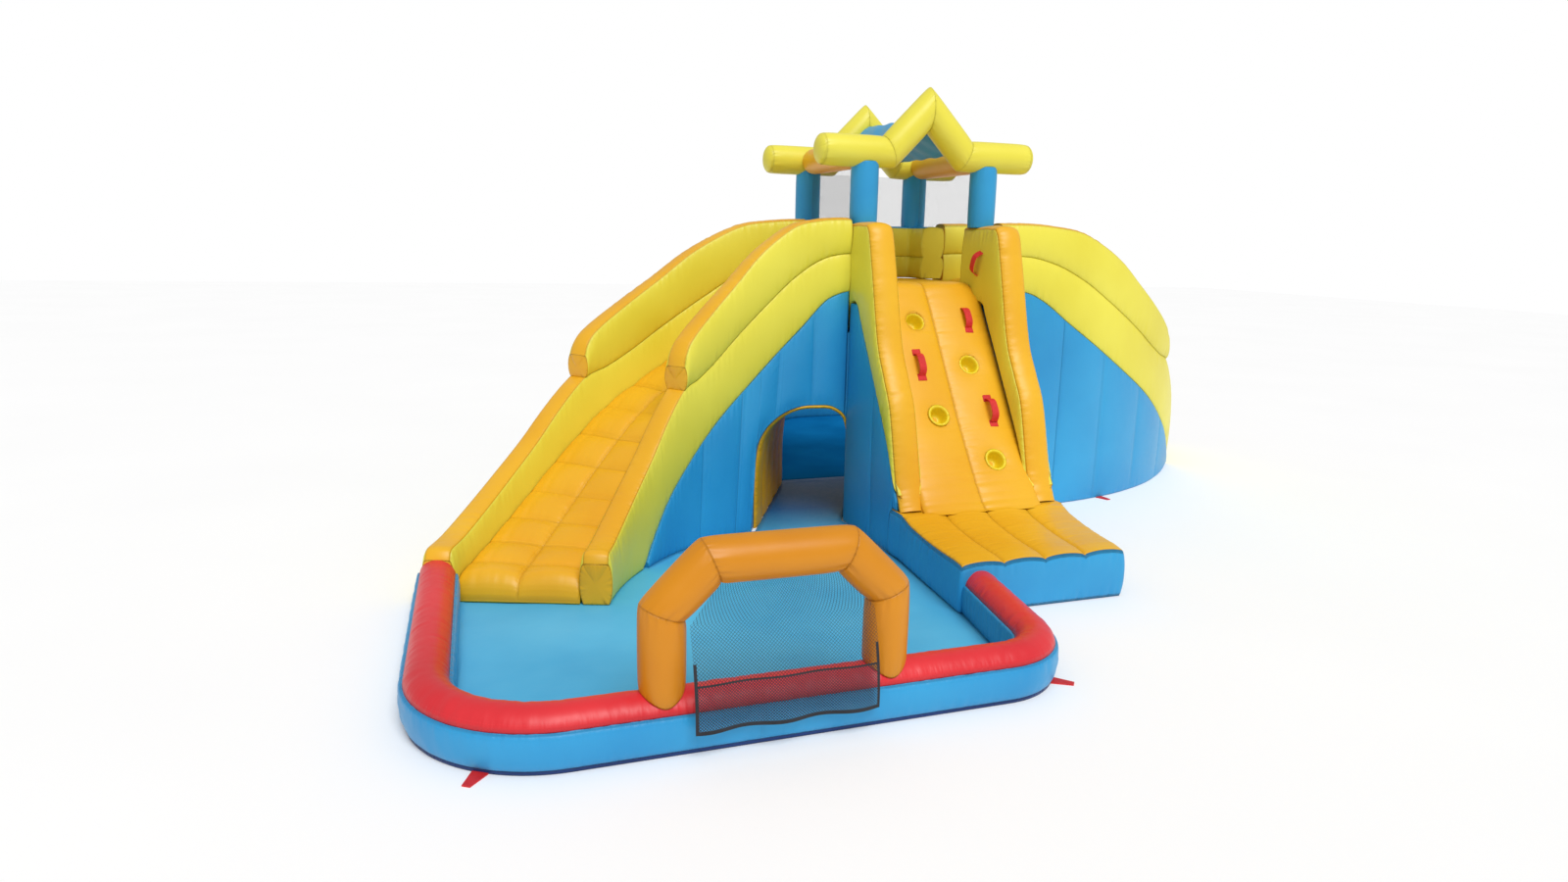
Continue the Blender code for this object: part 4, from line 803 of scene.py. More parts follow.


# Roof
# Zigzag beams front and back, side beams between them and four posts, all round tubes with sewn mitres, the
# zigzag beams with domed ends. A blue cloth hangs over the ridge, and black mesh closes three sides.
POST_SPACING = 0.82
POST_RADIUS = 0.085
BEAM_RADIUS = 0.095
SIDE_BEAM_RADIUS = 0.085
BEAM_HEIGHT = 2.284
BEAM_HALF_LENGTH = 0.73
BEAM_VALLEY_X = 0.26
BEAM_DOME = 0.042
ROOF_RISE = 0.265
CANOPY_HALF_WIDTH = 0.25
CANOPY_SAG = 0.025
CANOPY_DIP, CANOPY_RIPPLE = 0.02, 0.004
SIDE_BEAM_Z = BEAM_HEIGHT - (BEAM_RADIUS - SIDE_BEAM_RADIUS)
NET_TUCK, NET_SLACK = 0.01, 0.008
TUBE_CELL, TUBE_SWELL_REACH, TUBE_GATHER_REACH = 0.010, 0.03, 0.018
TUBE_FOLDS = (0.031, 0.052)
SIDES = (("left", -1.0), ("right", 1.0))
IN_DEPTH, UPRIGHT = (0.0, 1.0, 0.0), (0.0, 0.0, 1.0)


def tube(name, corners, radius, depth, finish, domes=(0.0, 0.0), swell=0.004, gather=0.004, columns=72,
         feet=None, seed=1):
    """A round tube through mitred seams at corners in the tower's frame, fuller between them and gathered
    beside them. Where feet is given, it lays the end rings on what they stand on."""
    corners, depth = in_tower(*np.transpose(corners)), np.asarray(depth, float)
    lengths = np.linalg.norm(np.diff(corners, axis=0), axis=1)
    units = unit(np.diff(corners, axis=0))
    turns = 2 * np.pi * np.arange(columns) / columns
    in_depth, aside = np.cos(turns)[:, None] * depth, np.sin(turns)[:, None]
    rings = []
    for i, corner in enumerate(corners):
        before, after = units[max(i - 1, 0)], units[min(i, len(units) - 1)]
        ahead = (before + after) / np.linalg.norm(before + after)
        mitred = aside * (np.cross(ahead, depth) / (ahead @ after))
        rings.append(corner + (radius - swell) * (in_depth + mitred))
    if feet:
        rings[0], rings[-1] = feet(rings[0]), feet(rings[-1])
    stations, maps, around = [], [], turns * radius
    for k, (first, last) in enumerate(zip(rings, rings[1:])):
        cells = max(8, int(lengths[k] / TUBE_CELL))
        t = ((1 - np.cos(np.pi * np.arange(cells + (k == len(rings) - 2)) / cells)) / 2)[:, None]
        off = np.minimum(t, 1 - t) * np.linalg.norm(last - first, axis=1)
        folds = np.where(t < 0.5, *(folded(around, TUBE_FOLDS, seed + k + end) for end in (0, 1)))
        lift = swell * (1 - np.exp(-off / TUBE_SWELL_REACH)) + gather * folds * beside(off, TUBE_GATHER_REACH)
        out = in_depth + aside * np.cross(units[k], depth)
        stations.append(first + (last - first) * t[..., None] + out * lift[..., None])
        maps.append(np.stack(np.broadcast_arrays(around, off), axis=-1))
    points = np.concatenate(stations)
    ahead = unit(np.gradient(points.mean(axis=1), axis=0))
    ahead[0], ahead[-1] = units[0], units[-1]
    piece = skin(f"{name}_fabric", points, np.concatenate(maps), ahead, domes, [0] * columns, 0, (finish,))
    stands_for(piece, name)


stub, post_head = BEAM_HALF_LENGTH - BEAM_DOME + 0.006, BEAM_HEIGHT - BEAM_RADIUS + 0.035
zigzag = ((-stub, 0.0), (-BEAM_VALLEY_X, 0.0), (0.0, ROOF_RISE), (BEAM_VALLEY_X, 0.0), (stub, 0.0))
for place, (where, sign) in enumerate((("front", -1.0), ("back", 1.0))):
    y = sign * POST_Y
    tube(f"roof_{where}_beam", [(x, y, BEAM_HEIGHT + up) for x, up in zigzag], BEAM_RADIUS,
         IN_DEPTH, YELLOW, (BEAM_DOME, BEAM_DOME), seed=500 + 9 * place)
    for spot, (side, across) in enumerate(SIDES):
        x = across * POST_SPACING / 2
        tube(f"{where}_{side}_post", [(x, y, WALL_TOP - 0.01), (x, y, post_head)], POST_RADIUS,
             IN_DEPTH, BLUE, seed=530 + 9 * place + 3 * spot)
beam_reach = POST_Y - BEAM_RADIUS - GAP
for spot, (side, across) in enumerate(SIDES):
    x = across * POST_SPACING / 2
    tube(f"roof_{side}_beam", [(x, -beam_reach, SIDE_BEAM_Z), (x, beam_reach, SIDE_BEAM_Z)],
         SIDE_BEAM_RADIUS, UPRIGHT, ORANGE, seed=560 + spot)


def cloth_sheet(name, node, points, finishes, off=None, hem=0):
    """A single sheet of cloth over a grid of points, mapped in metres; with a hem, its lowest third takes the
    third finish and the hem cells the second."""
    rows, columns = points.shape[:2]
    down = metres_along(points[:, columns // 2])[:, None] if off is None else off
    tints = np.zeros((rows - 1, columns - 1), int)
    if hem:
        tints[2 * rows // 3:] = 2
        tints[2 * rows // 3 - 1] = 1
        tints[-hem:], tints[rows // 2:, :1], tints[rows // 2:, -1:] = 1, 1, 1
    piece = lay_mesh(name, points, [ring_faces(rows, columns, closed=False)],
                     seam_map(metres_along(points[rows // 2]), down), tints.ravel(), finishes)
    stands_for(piece, node)
    return piece


down, side_share = grid(60, 60)
canopy_x = CANOPY_HALF_WIDTH * (2 * side_share - 1)
canopy_y = (POST_Y - BEAM_RADIUS * 0.5) * (2 * down - 1)
sag = CANOPY_SAG * np.sin(np.pi * down)
ridge = BEAM_HEIGHT + ROOF_RISE * (1 - np.abs(canopy_x) / BEAM_VALLEY_X)
from_ridge = np.abs(2 * side_share - 1)
canopy_z = ridge - sag * np.sin(np.pi * from_ridge) - sag * (1 - from_ridge) / 2 + 0.004
canopy_z = canopy_z - CANOPY_DIP * np.exp(-(from_ridge / 0.12) ** 2)
canopy_z = canopy_z + CANOPY_RIPPLE * np.sin(canopy_y * 31 + from_ridge * 9) * np.sin(np.pi * down)
canopy_off = np.minimum(np.minimum(side_share, 1 - side_share) * 0.68, np.minimum(down, 1 - down) * 0.85)
canopy_points = in_tower(canopy_x, canopy_y, canopy_z)
canopy = cloth_sheet("roof_canopy_cloth", "roof_canopy", canopy_points, (BLUE,), canopy_off)


def net_fabric(name, pitch=0.011, strand=0.26):
    """Black knitted mesh, open between its strands, which cross at right angles a pitch apart."""
    paint = Paint(name, 0.8)
    across, along = paint.parts(paint.coordinates("UV"), "XY")
    first, second = ((way * (math.pi / pitch)).sine().absolute() for way in (across + along, across - along))
    paint.send("Alpha", ((strand - first.least(second)) * 9.0).clamped())
    tone = paint.noise(paint.coordinates("Object"), 40.0)
    paint.send("Base Color", paint.blend(tone, screen(26, 27, 36), screen(52, 54, 66)))
    return paint.material


NET = net_fabric("black_mesh")
net_low = WALL_TOP - 0.004
down, side_share = grid(12, 30)
net_slack = NET_SLACK * np.sin(np.pi * down) * np.sin(np.pi * side_share)
side_half, back_half = (spread - POST_RADIUS + NET_TUCK for spread in (POST_Y, POST_SPACING / 2))
side_y, back_x = side_half * (2 * side_share - 1), back_half * (2 * side_share - 1)
side_high, back_high = SIDE_BEAM_Z - SIDE_BEAM_RADIUS + NET_TUCK, BEAM_HEIGHT - BEAM_RADIUS + NET_TUCK
for side, x, y, high, half, posts in (
        ("left", -POST_SPACING / 2 - net_slack, side_y, side_high, side_half, ("front_left", "back_left")),
        ("right", POST_SPACING / 2 + net_slack, side_y, side_high, side_half, ("front_right", "back_right")),
        ("back", back_x, POST_Y + net_slack, back_high, back_half, ("back_left", "back_right"))):
    points = in_tower(x, y, net_low + (high - net_low) * down)
    net = cloth_sheet(f"{side}_net_mesh", f"{side}_net", points, (NET,))
    2 * half
    high - net_low


# Climbing wall
# A quilted bed with a centre seam slopes down to the mat between two padded side walls, whose front
# bands are orange and sides yellow. Yellow funnel pockets are sewn into it, and red webbing loops onto it.
CLIMB_WALL_THICKNESS = 0.18
CLIMB_FOOT_Y = -1.40
CLIMB_FOOT_HEIGHT = 0.27
CLIMB_CROWN = 0.022
CLIMB_SIDE_THICKNESS = 0.13
CLIMB_SIDE_TOP = 1.38
CLIMB_BACK_Y = CLIMB_TOP_Y + CLIMB_BED_DEPTH
CLIMB_HALF_BED = TOWER_HALF_WIDTH - CLIMB_WALL_THICKNESS
CLIMB_RUN, CLIMB_DROP = CLIMB_FOOT_Y - CLIMB_TOP_Y, CLIMB_FOOT_HEIGHT - DECK_HEIGHT
CLIMB_LENGTH = math.hypot(CLIMB_RUN, CLIMB_DROP)
RIGHT = np.array([1.0, 0.0, 0.0])
UP_SLOPE = np.array([0.0, -CLIMB_RUN, -CLIMB_DROP]) / CLIMB_LENGTH
OUT_OF_SLOPE = np.array([0.0, CLIMB_DROP, -CLIMB_RUN]) / CLIMB_LENGTH
# The bed's crests: a share of the way down the slope, and metres out of it
BED_PROFILE = ((-0.0539, -0.1139), (-0.040, -0.066), (-0.020, -0.026), (0.005, 0.002), (0.06, 0.012),
               (0.20, 0.010), (0.45, -0.002), (0.62, -0.010), (0.80, -0.004), (0.90, 0.002), (0.955, 0.010),
               (1.0, 0.026), (1.025, 0.046))
BED_TUCK = 0.044
BED_DEPTH = 0.105
CENTRE_FOLD, FOOT_CREASE, BED_EDGE_DIP = 0.0042, 0.020, 0.016
# How deep and how wide the bed is drawn in round a pocket
POCKET_PULL, POCKET_PULL_REACH = 0.014, 0.085
# Half the thickness of the side walls and panels without their bulge
SIDE_WALL_HALF, SIDE_PANEL_HALF = 0.079, 0.052
CLIMB_FRONT_SHARES = ((0.0, 1.0), (0.175, 1.0), (0.30, 1.0), (0.40, 0.985), (0.47, 0.87), (0.588, 0.64),
                      (0.69, 0.535), (0.784, 0.441), (0.887, 0.242), (0.94, 0.175), (0.965, 0.150))
# How far down the wall's rear edge the third and later points of the front edge face, from bend to tip
CLIMB_REAR_SHARES = (0.0, 0.07, 0.18, 0.36, 0.50, 0.64, 0.80, 0.94, 0.965)
CLIMB_BEND_SHARE = 0.27
POCKET_RADIUS = 0.055
POCKET_DEPTH = 0.075
POCKET_SHARES = ((-0.37, 0.18), (0.50, 0.38), (-0.37, 0.60), (0.50, 0.80))
POCKET_PROFILE = ((0.0, -0.0725), (0.020, -0.0720), (0.032, -0.069), (0.038, -0.058), (0.043, -0.040),
                  (0.047, -0.020), (0.0495, -0.008), (0.052, -0.001), (0.057, 0.0035), (0.063, 0.0035),
                  (0.069, 0.001), (0.071, -0.003), (0.066, -0.006), (0.058, -0.008), (0.052, -0.030),
                  (0.046, -0.055), (0.036, -0.0745), (0.0, -0.075))
HANDLE_LENGTH = 0.15
HANDLE_WIDTH = 0.045
HANDLE_SHARES = ((0.66, 0.17), (-0.52, 0.38), (0.66, 0.59))
PATCH_SIZE = (HANDLE_WIDTH + 0.012, 0.045)
PATCH_HEIGHT, PATCH_BASE, STITCH_DIP = 0.0022, 0.0015, 0.0008


def on_slope(across, down, lift=0.0):
    """World places on the climbing slope, from metres across, a share of the way down and a height."""
    flat = in_tower(across, CLIMB_TOP_Y + CLIMB_RUN * down, DECK_HEIGHT + CLIMB_DROP * down)
    return flat + OUT_OF_SLOPE * np.asarray(lift)[..., None]


def make_climb_bed(rows=300, columns=131):
    """The bed: plump beside its centre seam, drawn in round each pocket and creased towards its foot."""
    down, crest = resampled(BED_PROFILE, rows).T[..., None]
    across_share = np.linspace(-1.0, 1.0, columns)
    half = CLIMB_HALF_BED + BED_TUCK * (0.25 + 0.75 * np.clip(down / 0.04 - 1, 0, 1))
    across = across_share * half
    way = down * CLIMB_LENGTH
    column, seam_off = between(np.abs(across_share), (0.0, 1.0))
    seam_off = seam_off * half.mean()
    lift = crest - CLIMB_CROWN * (1 - arched(column, 0.5))
    lift = lift + CENTRE_FOLD * folded(way, (0.045, 0.07, 0.11), 600) * beside(seam_off, CREASE_REACH)
    creases = folded(way, (0.05, 0.083), 601) * (0.6 + 0.4 * np.sin(across * 9 + 1.0))
    lift = lift + FOOT_CREASE * creases * np.exp(-((down - 0.92) / 0.10) ** 2)
    lift = lift - BED_EDGE_DIP * np.exp(-(half - np.abs(across)) / 0.012)
    off = np.broadcast_to(seam_off, lift.shape)
    for share, pocket_down in POCKET_SHARES:
        apart = np.hypot(across - share * CLIMB_HALF_BED, (down - pocket_down) * CLIMB_LENGTH)
        lift = lift - POCKET_PULL * (np.exp(-(apart / POCKET_PULL_REACH) ** 2) - (apart < POCKET_RADIUS))
        lift = np.where(apart < POCKET_RADIUS + 0.003, -POCKET_DEPTH - 0.008, lift)
        off = np.minimum(off, np.abs(apart - POCKET_RADIUS - 0.010))
    top = on_slope(across, down, lift)
    under = on_slope(across, np.minimum(down, 0.985), -BED_DEPTH - 0.030 * (down < 0) + 0 * lift)
    under[..., 2] = np.maximum(under[..., 2], CLIMB_FOOT_HEIGHT - 0.0005)
    top[..., 2] = np.maximum(top[..., 2], under[..., 2] + 0.002)
    orange_quilt("climbing_bed", top, under, off, way)


make_climb_bed()

POCKET_YELLOW = coated("pocket_fabric", screen(242, 218, 40), screen(228, 200, 26), gather=0.0018)


def lathe(name, middle, axes, profile, finish, pleats, columns=64, seed=1):
    """A turned closed skin from (radius, height) pairs that start and end on the axis, lightly pleated."""
    right, up, out = axes
    size, height = np.transpose(profile)
    widest = size.max()
    turns = 2 * np.pi * np.arange(columns) / columns
    radius, rise = size[1:-1, None], height[1:-1, None]
    rise = rise + pleats * folded(turns * 0.1, (0.033, 0.05), seed) * (radius / widest)
    flat = np.cos(turns)[:, None] * right + np.sin(turns)[:, None] * up
    rings = middle + flat * radius[..., None] + out * rise[..., None]
    quads, fans = ring_faces(len(rings), columns), end_fans(len(rings), columns)
    poles = [middle + out * height[0], middle + out * height[-1]]
    maps = np.concatenate([seam_map(turns * widest, np.abs(radius - widest)), [(0.0, 0.05), (0.0, 0.05)]])
    return lay_mesh(name, np.concatenate([rings.reshape(-1, 3), poles]), [quads, fans], maps,
                    np.zeros(len(quads) + len(fans), int), (finish,))


for index, (share, down) in enumerate(POCKET_SHARES, start=1):
    cup = lathe(f"foot_pocket_{index}_fabric", on_slope(share * CLIMB_HALF_BED, down, -0.011),
                (RIGHT, UP_SLOPE, OUT_OF_SLOPE), POCKET_PROFILE, POCKET_YELLOW, 0.0060, seed=620 + index)
    stands_for(cup, f"foot_pocket_{index}")


def webbing(name, colour, shade, roughness=0.55):
    """Woven tape: ribs across it, a fine diagonal weave and a slow drift of tone."""
    paint = Paint(name, roughness)
    spot = paint.coordinates("Object")
    x, y, z = paint.parts(spot)
    ribs = ((x + y * 0.7 + z) * 2300.0).sine() * ((x - y - z * 0.6) * 2300.0).sine()
    wear = paint.noise(spot, 22.0, 3.0)
    paint.raised(ribs * 0.00025 + wear * 0.0006)
    paint.send("Base Color", paint.blend((wear * 2.0 - 0.5).clamped(), shade, colour))
    paint.send("Roughness", 0.42 + wear * 0.25)
    return paint.material


RED_WEBBING = webbing("red_webbing", screen(228, 46, 48), screen(206, 30, 36))
BLACK_WEBBING = webbing("black_webbing", screen(36, 36, 44), screen(20, 20, 27))


def dress(node, finish):
    """Gives a node of the frame another finish."""
    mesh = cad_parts[node].data
    if not mesh.materials:
        mesh.materials.append(finish)
    for spot in range(len(mesh.materials)):
        mesh.materials[spot] = finish


def make_patch(name, middle, axes, size, finish):
    """A small sewn patch: a soft rounded plate with a raised stitched edge."""
    down, side_share = grid(9, 9)
    right, up, out = axes
    wide, long = size
    edge = np.minimum(np.minimum(side_share, 1 - side_share) * wide, np.minimum(down, 1 - down) * long)
    rise = PATCH_HEIGHT * (1 - np.exp(-edge / 0.0015)) - STITCH_DIP * np.exp(-((edge - 0.004) / 0.0012) ** 2)
    flat = middle + right * ((side_share - 0.5) * wide)[..., None] + up * ((down - 0.5) * long)[..., None]
    patch = quilt(name, flat + out * rise[..., None], flat - out * PATCH_BASE, edge, down * long, finish)
    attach(patch, "inflatable")


def bed_sag(share):
    """How far the bed lies behind its crests at a share of its half width."""
    return CLIMB_CROWN * (1 - abs(math.sin(math.pi * (share + 1))) ** 0.5)


crests = np.transpose(BED_PROFILE[4:8])
for index, (share, down) in enumerate(HANDLE_SHARES, start=1):
    for end, sign in (("upper", -1.0), ("lower", 1.0)):
        spot = down + sign * (HANDLE_LENGTH / 2 + 0.008) / CLIMB_LENGTH
        make_patch(f"climb_handle_{index}_{end}_patch",
                   on_slope(share * CLIMB_HALF_BED, spot, -bed_sag(share) + np.interp(spot, *crests) + 0.001),
                   (RIGHT, UP_SLOPE, OUT_OF_SLOPE), PATCH_SIZE, RED_WEBBING)
for index in (1, 2, 3, 4):
    dress(f"climb_handle_{index}", RED_WEBBING)

MAT_BACK_Y = CLIMB_FOOT_Y + CLIMB_BED_DEPTH
MAT_HEIGHT = 0.2695
SIDE_REACH = CLIMB_FOOT_Y - CLIMB_BACK_Y
BEND_Y = CLIMB_BACK_Y + SIDE_REACH * CLIMB_BEND_SHARE
TIP_Y, TIP_Z = CLIMB_BACK_Y + SIDE_REACH * CLIMB_FRONT_SHARES[-2][0], WALL_TOP * CLIMB_FRONT_SHARES[-2][1]
FRONT_BULGE = 0.022


def upright_rings(middle, half, low, high):
    """Rings of four seams between two lines of (y, z) pairs, half a thickness to either side of a middle."""
    corners = ((-half, low), (-half, high), (half, high), (half, low))
    return np.stack([in_tower(middle + across, *line.T) for across, line in corners], axis=1)


def make_climb_wall(side, sign, seed):
    """A side wall, swept along its front edge, whose rear edge follows the blue panel's top."""
    front = [(CLIMB_BACK_Y + SIDE_REACH * along, WALL_TOP * up) for along, up in CLIMB_FRONT_SHARES]
    rear = [(CLIMB_BACK_Y, FRONT_PANEL_HEIGHT + 0.001), (FRONT_PLANE_Y, CLIMB_SIDE_TOP)]
    rear += [(BEND_Y + (TIP_Y - BEND_Y) * share, CLIMB_SIDE_TOP + (TIP_Z - CLIMB_SIDE_TOP) * share)
             for share in CLIMB_REAR_SHARES]
    marks = np.arange(len(front), dtype=float)
    front, rear = (smoothed(marks, line, np.linspace(0.0, marks[-1], 190)) for line in (front, rear))
    # The front edge is held back by the depth of its own bulge
    ahead = unit(np.gradient(front, axis=0))
    apart = np.linalg.norm(front - rear, axis=1)
    outward = np.stack([ahead[:, 1], -ahead[:, 0]], axis=1)
    edge = front - outward * np.minimum(FRONT_BULGE, 0.4 * apart)[:, None]
    rings = upright_rings(sign * (TOWER_HALF_WIDTH - CLIMB_WALL_THICKNESS / 2), SIDE_WALL_HALF, rear, edge)
    pillow(f"climbing_{side}_wall", "yellow", rings, (0.012, np.minimum(0.026, 0.5 * apart), 0.012, 0.0),
           (22, 22, 22, 6), WALL_FINISHES, (0, 1, 0, 0), (0.0, 0.010), 1, lead=[1, 2], seed=seed)


def make_climb_side(side, sign, seed):
    """The blue panel under a side wall, whose foot steps up over the back of the mat."""
    lip = MAT_HEIGHT + 0.0006
    marks = (0.0, 0.1, 0.8, 0.93, 1.0)
    feet = ((FRONT_PLANE_Y - GAP, 0.0), (BEND_Y, 0.0), (MAT_BACK_Y + 0.001, 0.0), (MAT_BACK_Y, lip),
            (TIP_Y + 0.030, lip))
    heads = ((FRONT_PLANE_Y - GAP, CLIMB_SIDE_TOP), (BEND_Y, CLIMB_SIDE_TOP), (-1.20, 0.539), (-1.245, 0.431),
             (TIP_Y + 0.030, TIP_Z))
    where = np.linspace(0.0, 1.0, 150)
    low, high = (np.stack([np.interp(where, marks, axis) for axis in np.transpose(line)], axis=1)
                 for line in (feet, heads))
    rings = upright_rings(sign * (TOWER_HALF_WIDTH - CLIMB_SIDE_THICKNESS / 2), SIDE_PANEL_HALF, low, high)
    pillow(f"climbing_{side}_side", "blue", rings, (0.018, 0.0, 0.018, 0.0), (36, 6, 36, 6), (BLUE,),
           fullness=0.4, cross=(0.0, 0.62, 1.4), cross_depth=0.7, lead=[1, 2], seed=seed)


for place, (side, sign) in enumerate(SIDES):
    make_climb_wall(side, sign, 640 + 20 * place)
    make_climb_side(side, sign, 680 + 20 * place)


# Landing mat
# Four orange columns between lengthwise channels, over blue sides that bulge above a drawn-in foot.
MAT_FRONT_Y = -2.20
MAT_FRONT_LEFT_X = -0.60
MAT_FRONT_RIGHT_X = 0.33
MAT_CHANNELS = 4
MAT_BULGE, SKIRT_FOLD = 0.016, 0.008
SKIRT_CELLS = 14
# Depths of the top's folds, creases, channels, sag and rounded ends, and its swell at the wall's foot
MAT_FOLD, MAT_CREASE, MAT_CHANNEL, MAT_SAG, MAT_END, MAT_SWELL = 0.006, 0.010, 0.020, 0.016, 0.012, 0.014


def make_pad(name, top, bulge, off, way, finishes):
    """A closed pad: a grid on top, a skirt that bulges on its way down, and a flat base on the ground."""
    rows, columns = top.shape[:2]
    half = rows * columns
    top = top.reshape(-1, 3)
    quads, rim = ring_faces(rows, columns, closed=False), border_of(rows, columns)
    edge = top[rim]
    ahead = np.roll(edge, -2, axis=0) - np.roll(edge, 2, axis=0)
    out = unit(np.stack([ahead[:, 1], -ahead[:, 0], 0 * ahead[:, 0]], axis=1))
    if np.einsum("ij,ij->i", out, edge - edge.mean(axis=0)).sum() < 0:
        out = -out
    run, depth = metres_along(edge), edge[:, 2]
    share = np.linspace(0.0, 1.0, SKIRT_CELLS + 1)[1:-1, None]
    near = np.minimum(share, 1 - share) * depth
    folds = folded(run, (0.05, 0.08), 7) * beside(near, 0.02)
    skirt = edge + out * (bulge * (4 * share * (1 - share)) ** 0.5 + SKIRT_FOLD * folds)[..., None]
    skirt[..., 2] = depth * (1 - share)
    points = np.concatenate([top, skirt.reshape(-1, 3), top * (1.0, 1.0, 0.0)])
    base = half + skirt.size // 3
    numbers = np.concatenate([[rim], np.arange(half, base).reshape(len(share), -1), [base + rim]])
    right = np.roll(numbers, -1, axis=1)
    walls = np.stack([numbers[:-1], right[:-1], right[1:], numbers[1:]], axis=-1).reshape(-1, 4)
    faces = np.concatenate([quads, walls[:, ::-1], quads[:, ::-1] + base])
    maps = np.concatenate([seam_map(way, off), seam_map(run, near), seam_map(way, off)])
    piece = lay_mesh(f"{name}_fabric", points, [faces], maps, np.arange(len(faces)) >= len(quads), finishes)
    stands_for(piece, name)


down, side_share = grid(120, 121)
mat_y = MAT_BACK_Y + (MAT_FRONT_Y - MAT_BACK_Y) * down
past_foot = np.clip((mat_y - CLIMB_FOOT_Y) / (MAT_FRONT_Y - CLIMB_FOOT_Y), 0.0, 1.0)
mat_left = -TOWER_HALF_WIDTH + (MAT_FRONT_LEFT_X + TOWER_HALF_WIDTH) * past_foot
mat_right = TOWER_HALF_WIDTH + (MAT_FRONT_RIGHT_X - TOWER_HALF_WIDTH) * past_foot
mat_x = mat_left + (mat_right - mat_left) * side_share
column = (side_share * MAT_CHANNELS) % 1
channel_off = np.minimum(column, 1 - column) * (mat_right - mat_left) / MAT_CHANNELS
free = np.clip(past_foot / 0.03, 0, 1)
rim_fade = np.clip(np.minimum(past_foot + 0.02, 1 - past_foot) / 0.12, 0, 1) ** 0.5
mat_folds = folded(mat_y, (0.045, 0.07, 0.1), 700) * beside(channel_off, CREASE_REACH)
mat_creases = folded(mat_y, (0.05, 0.083), 702) * np.sin(np.pi * column) * np.exp(-past_foot / 0.22)
mat_z = MAT_HEIGHT + free * (MAT_FOLD * mat_folds + MAT_CREASE * mat_creases
                             - MAT_CHANNEL * (1 - arched(column, 0.5)) - MAT_SAG * np.sin(np.pi * past_foot))
mat_z = mat_z - MAT_END * (past_foot > 0) * (1 - rim_fade)
mat_z = mat_z + MAT_SWELL * np.exp(-((past_foot - 0.03) / 0.07) ** 2) * np.clip(past_foot / 0.02, 0, 1)
mat_off = np.minimum(channel_off, np.abs(MAT_FRONT_Y - mat_y))
make_pad("landing_mat", in_tower(mat_x, mat_y, mat_z), MAT_BULGE, mat_off, mat_y, (ORANGE, BLUE))


# Pools
# Each pool is a blue wall tube that leans inwards over a narrow foot, a red rounded rim on top of it and
# a thin floor sewn between the walls, pale blue in front and deeper behind. The deeper blue behind and the
# darker front floor inside the tunnel are painted shade.
POOL_WALL_WIDTH = 0.20
POOL_WALL_HEIGHT = 0.15
POOL_FOOT_SHARE = 0.8
POOL_WALL_SEAMS = (0.0, 1.3, 2.6, 3.9)
WELT = 0.016
RIM_WIDTH = 0.172
RIM_HEIGHT = 0.072
RIM_BASE, RIM_BOW = POOL_WALL_HEIGHT + GAP, RIM_HEIGHT - 0.004
FRONT_POOL_Y, REAR_POOL_Y = -3.01, 3.10
# Corners of the walls' middle lines in the tower's frame, each line starting at the end of a slide
FRONT_CORNERS = ((-3.04, FRONT_POOL_Y), (-0.64, FRONT_POOL_Y), (-0.50, MAT_FRONT_Y - GAP))
REAR_CORNERS = ((3.20, REAR_POOL_Y), (0.25, REAR_POOL_Y), (-0.80, 0.3288))
CORNER_RADIUS, SIDE_RADIUS, REAR_TURN_RADIUS = 0.45, 0.28, 0.60
FLOOR_STEP = 0.035
FLOOR_SLACK, FLOOR_RIPPLE = 0.0035, 0.0019
RED = coated("red_fabric", screen(232, 52, 58), screen(205, 34, 44))
NAVY = coated("navy_fabric", screen(22, 62, 128), screen(15, 44, 98))
# Painted shade: the front floor's tone darkens where it runs into the tunnel under the tower
door_shade = (TOWER_Y + FRONT_PLANE_Y - 0.30, TOWER_Y + FRONT_PLANE_Y + 0.35, screen(14, 84, 140))
POOL_FLOOR = coated("pool_floor_fabric", screen(98, 190, 228), screen(70, 166, 212), gather=0.0006,
                    crumple=0.0012, painted_shade_band=door_shade, gloss=0.02)
# Painted shade: the rear floor's darker blue stands for the shade seen through the tunnel
PAINTED_SHADE_FLOOR = coated("painted_shade_floor_fabric", screen(16, 116, 180), screen(8, 92, 150), gather=0.0006,
                    crumple=0.0012, gloss=0.0)


def make_pool(which, side, corners, radii, last_normal, seed):
    """A pool's wall and rim, from the end of a slide round the corners, with a dark welt at the foot."""
    start, past = (slide_places(side, 1 + GAP / SLIDE_BEND, across, 0.0)[:2] - (TOWER_X, TOWER_Y)
                   for across in (WALL_OFFSET, 0.0))
    path = rounded_path([start, *corners], radii, 0.012)
    normals = left_normals(path, past - start, last_normal)
    foot, top = POOL_WALL_WIDTH / 2 * POOL_FOOT_SHARE - 0.002, POOL_WALL_WIDTH / 2 - 0.012
    wall = swept(path, normals, ((foot, 0.0), (top, POOL_WALL_HEIGHT), (-top, POOL_WALL_HEIGHT),
                                 (-foot, WELT), (-foot, 0.0)))
    pillow(f"{which}_pool_wall", "blue", wall, (0.020, 0.002, 0.020, 0.001, 0.0), (16, 8, 16, 3, 6),
           (BLUE, NAVY), (0, 0, 0, 1, 0), fullness=0.5, cross=POOL_WALL_SEAMS, cross_depth=0.35, lead=[0, 2],
           nodes=[f"{which}_pool_wall_{number}" for number in (1, 2)], seed=seed)
    half = RIM_WIDTH / 2 - 0.004
    rim = swept(path, normals, ((-half, RIM_BASE), (half, RIM_BASE)))
    pillow(f"{which}_pool_rim", "red", rim, (0.0, RIM_BOW), (6, 26), (RED,), lead=[1], seed=seed + 5)


make_pool("front", "left", FRONT_CORNERS, (CORNER_RADIUS, SIDE_RADIUS), (-1.0, 0.0), 720)
make_pool("rear", "right", REAR_CORNERS, (CORNER_RADIUS, REAR_TURN_RADIUS), (1.0, 0.0), 740)


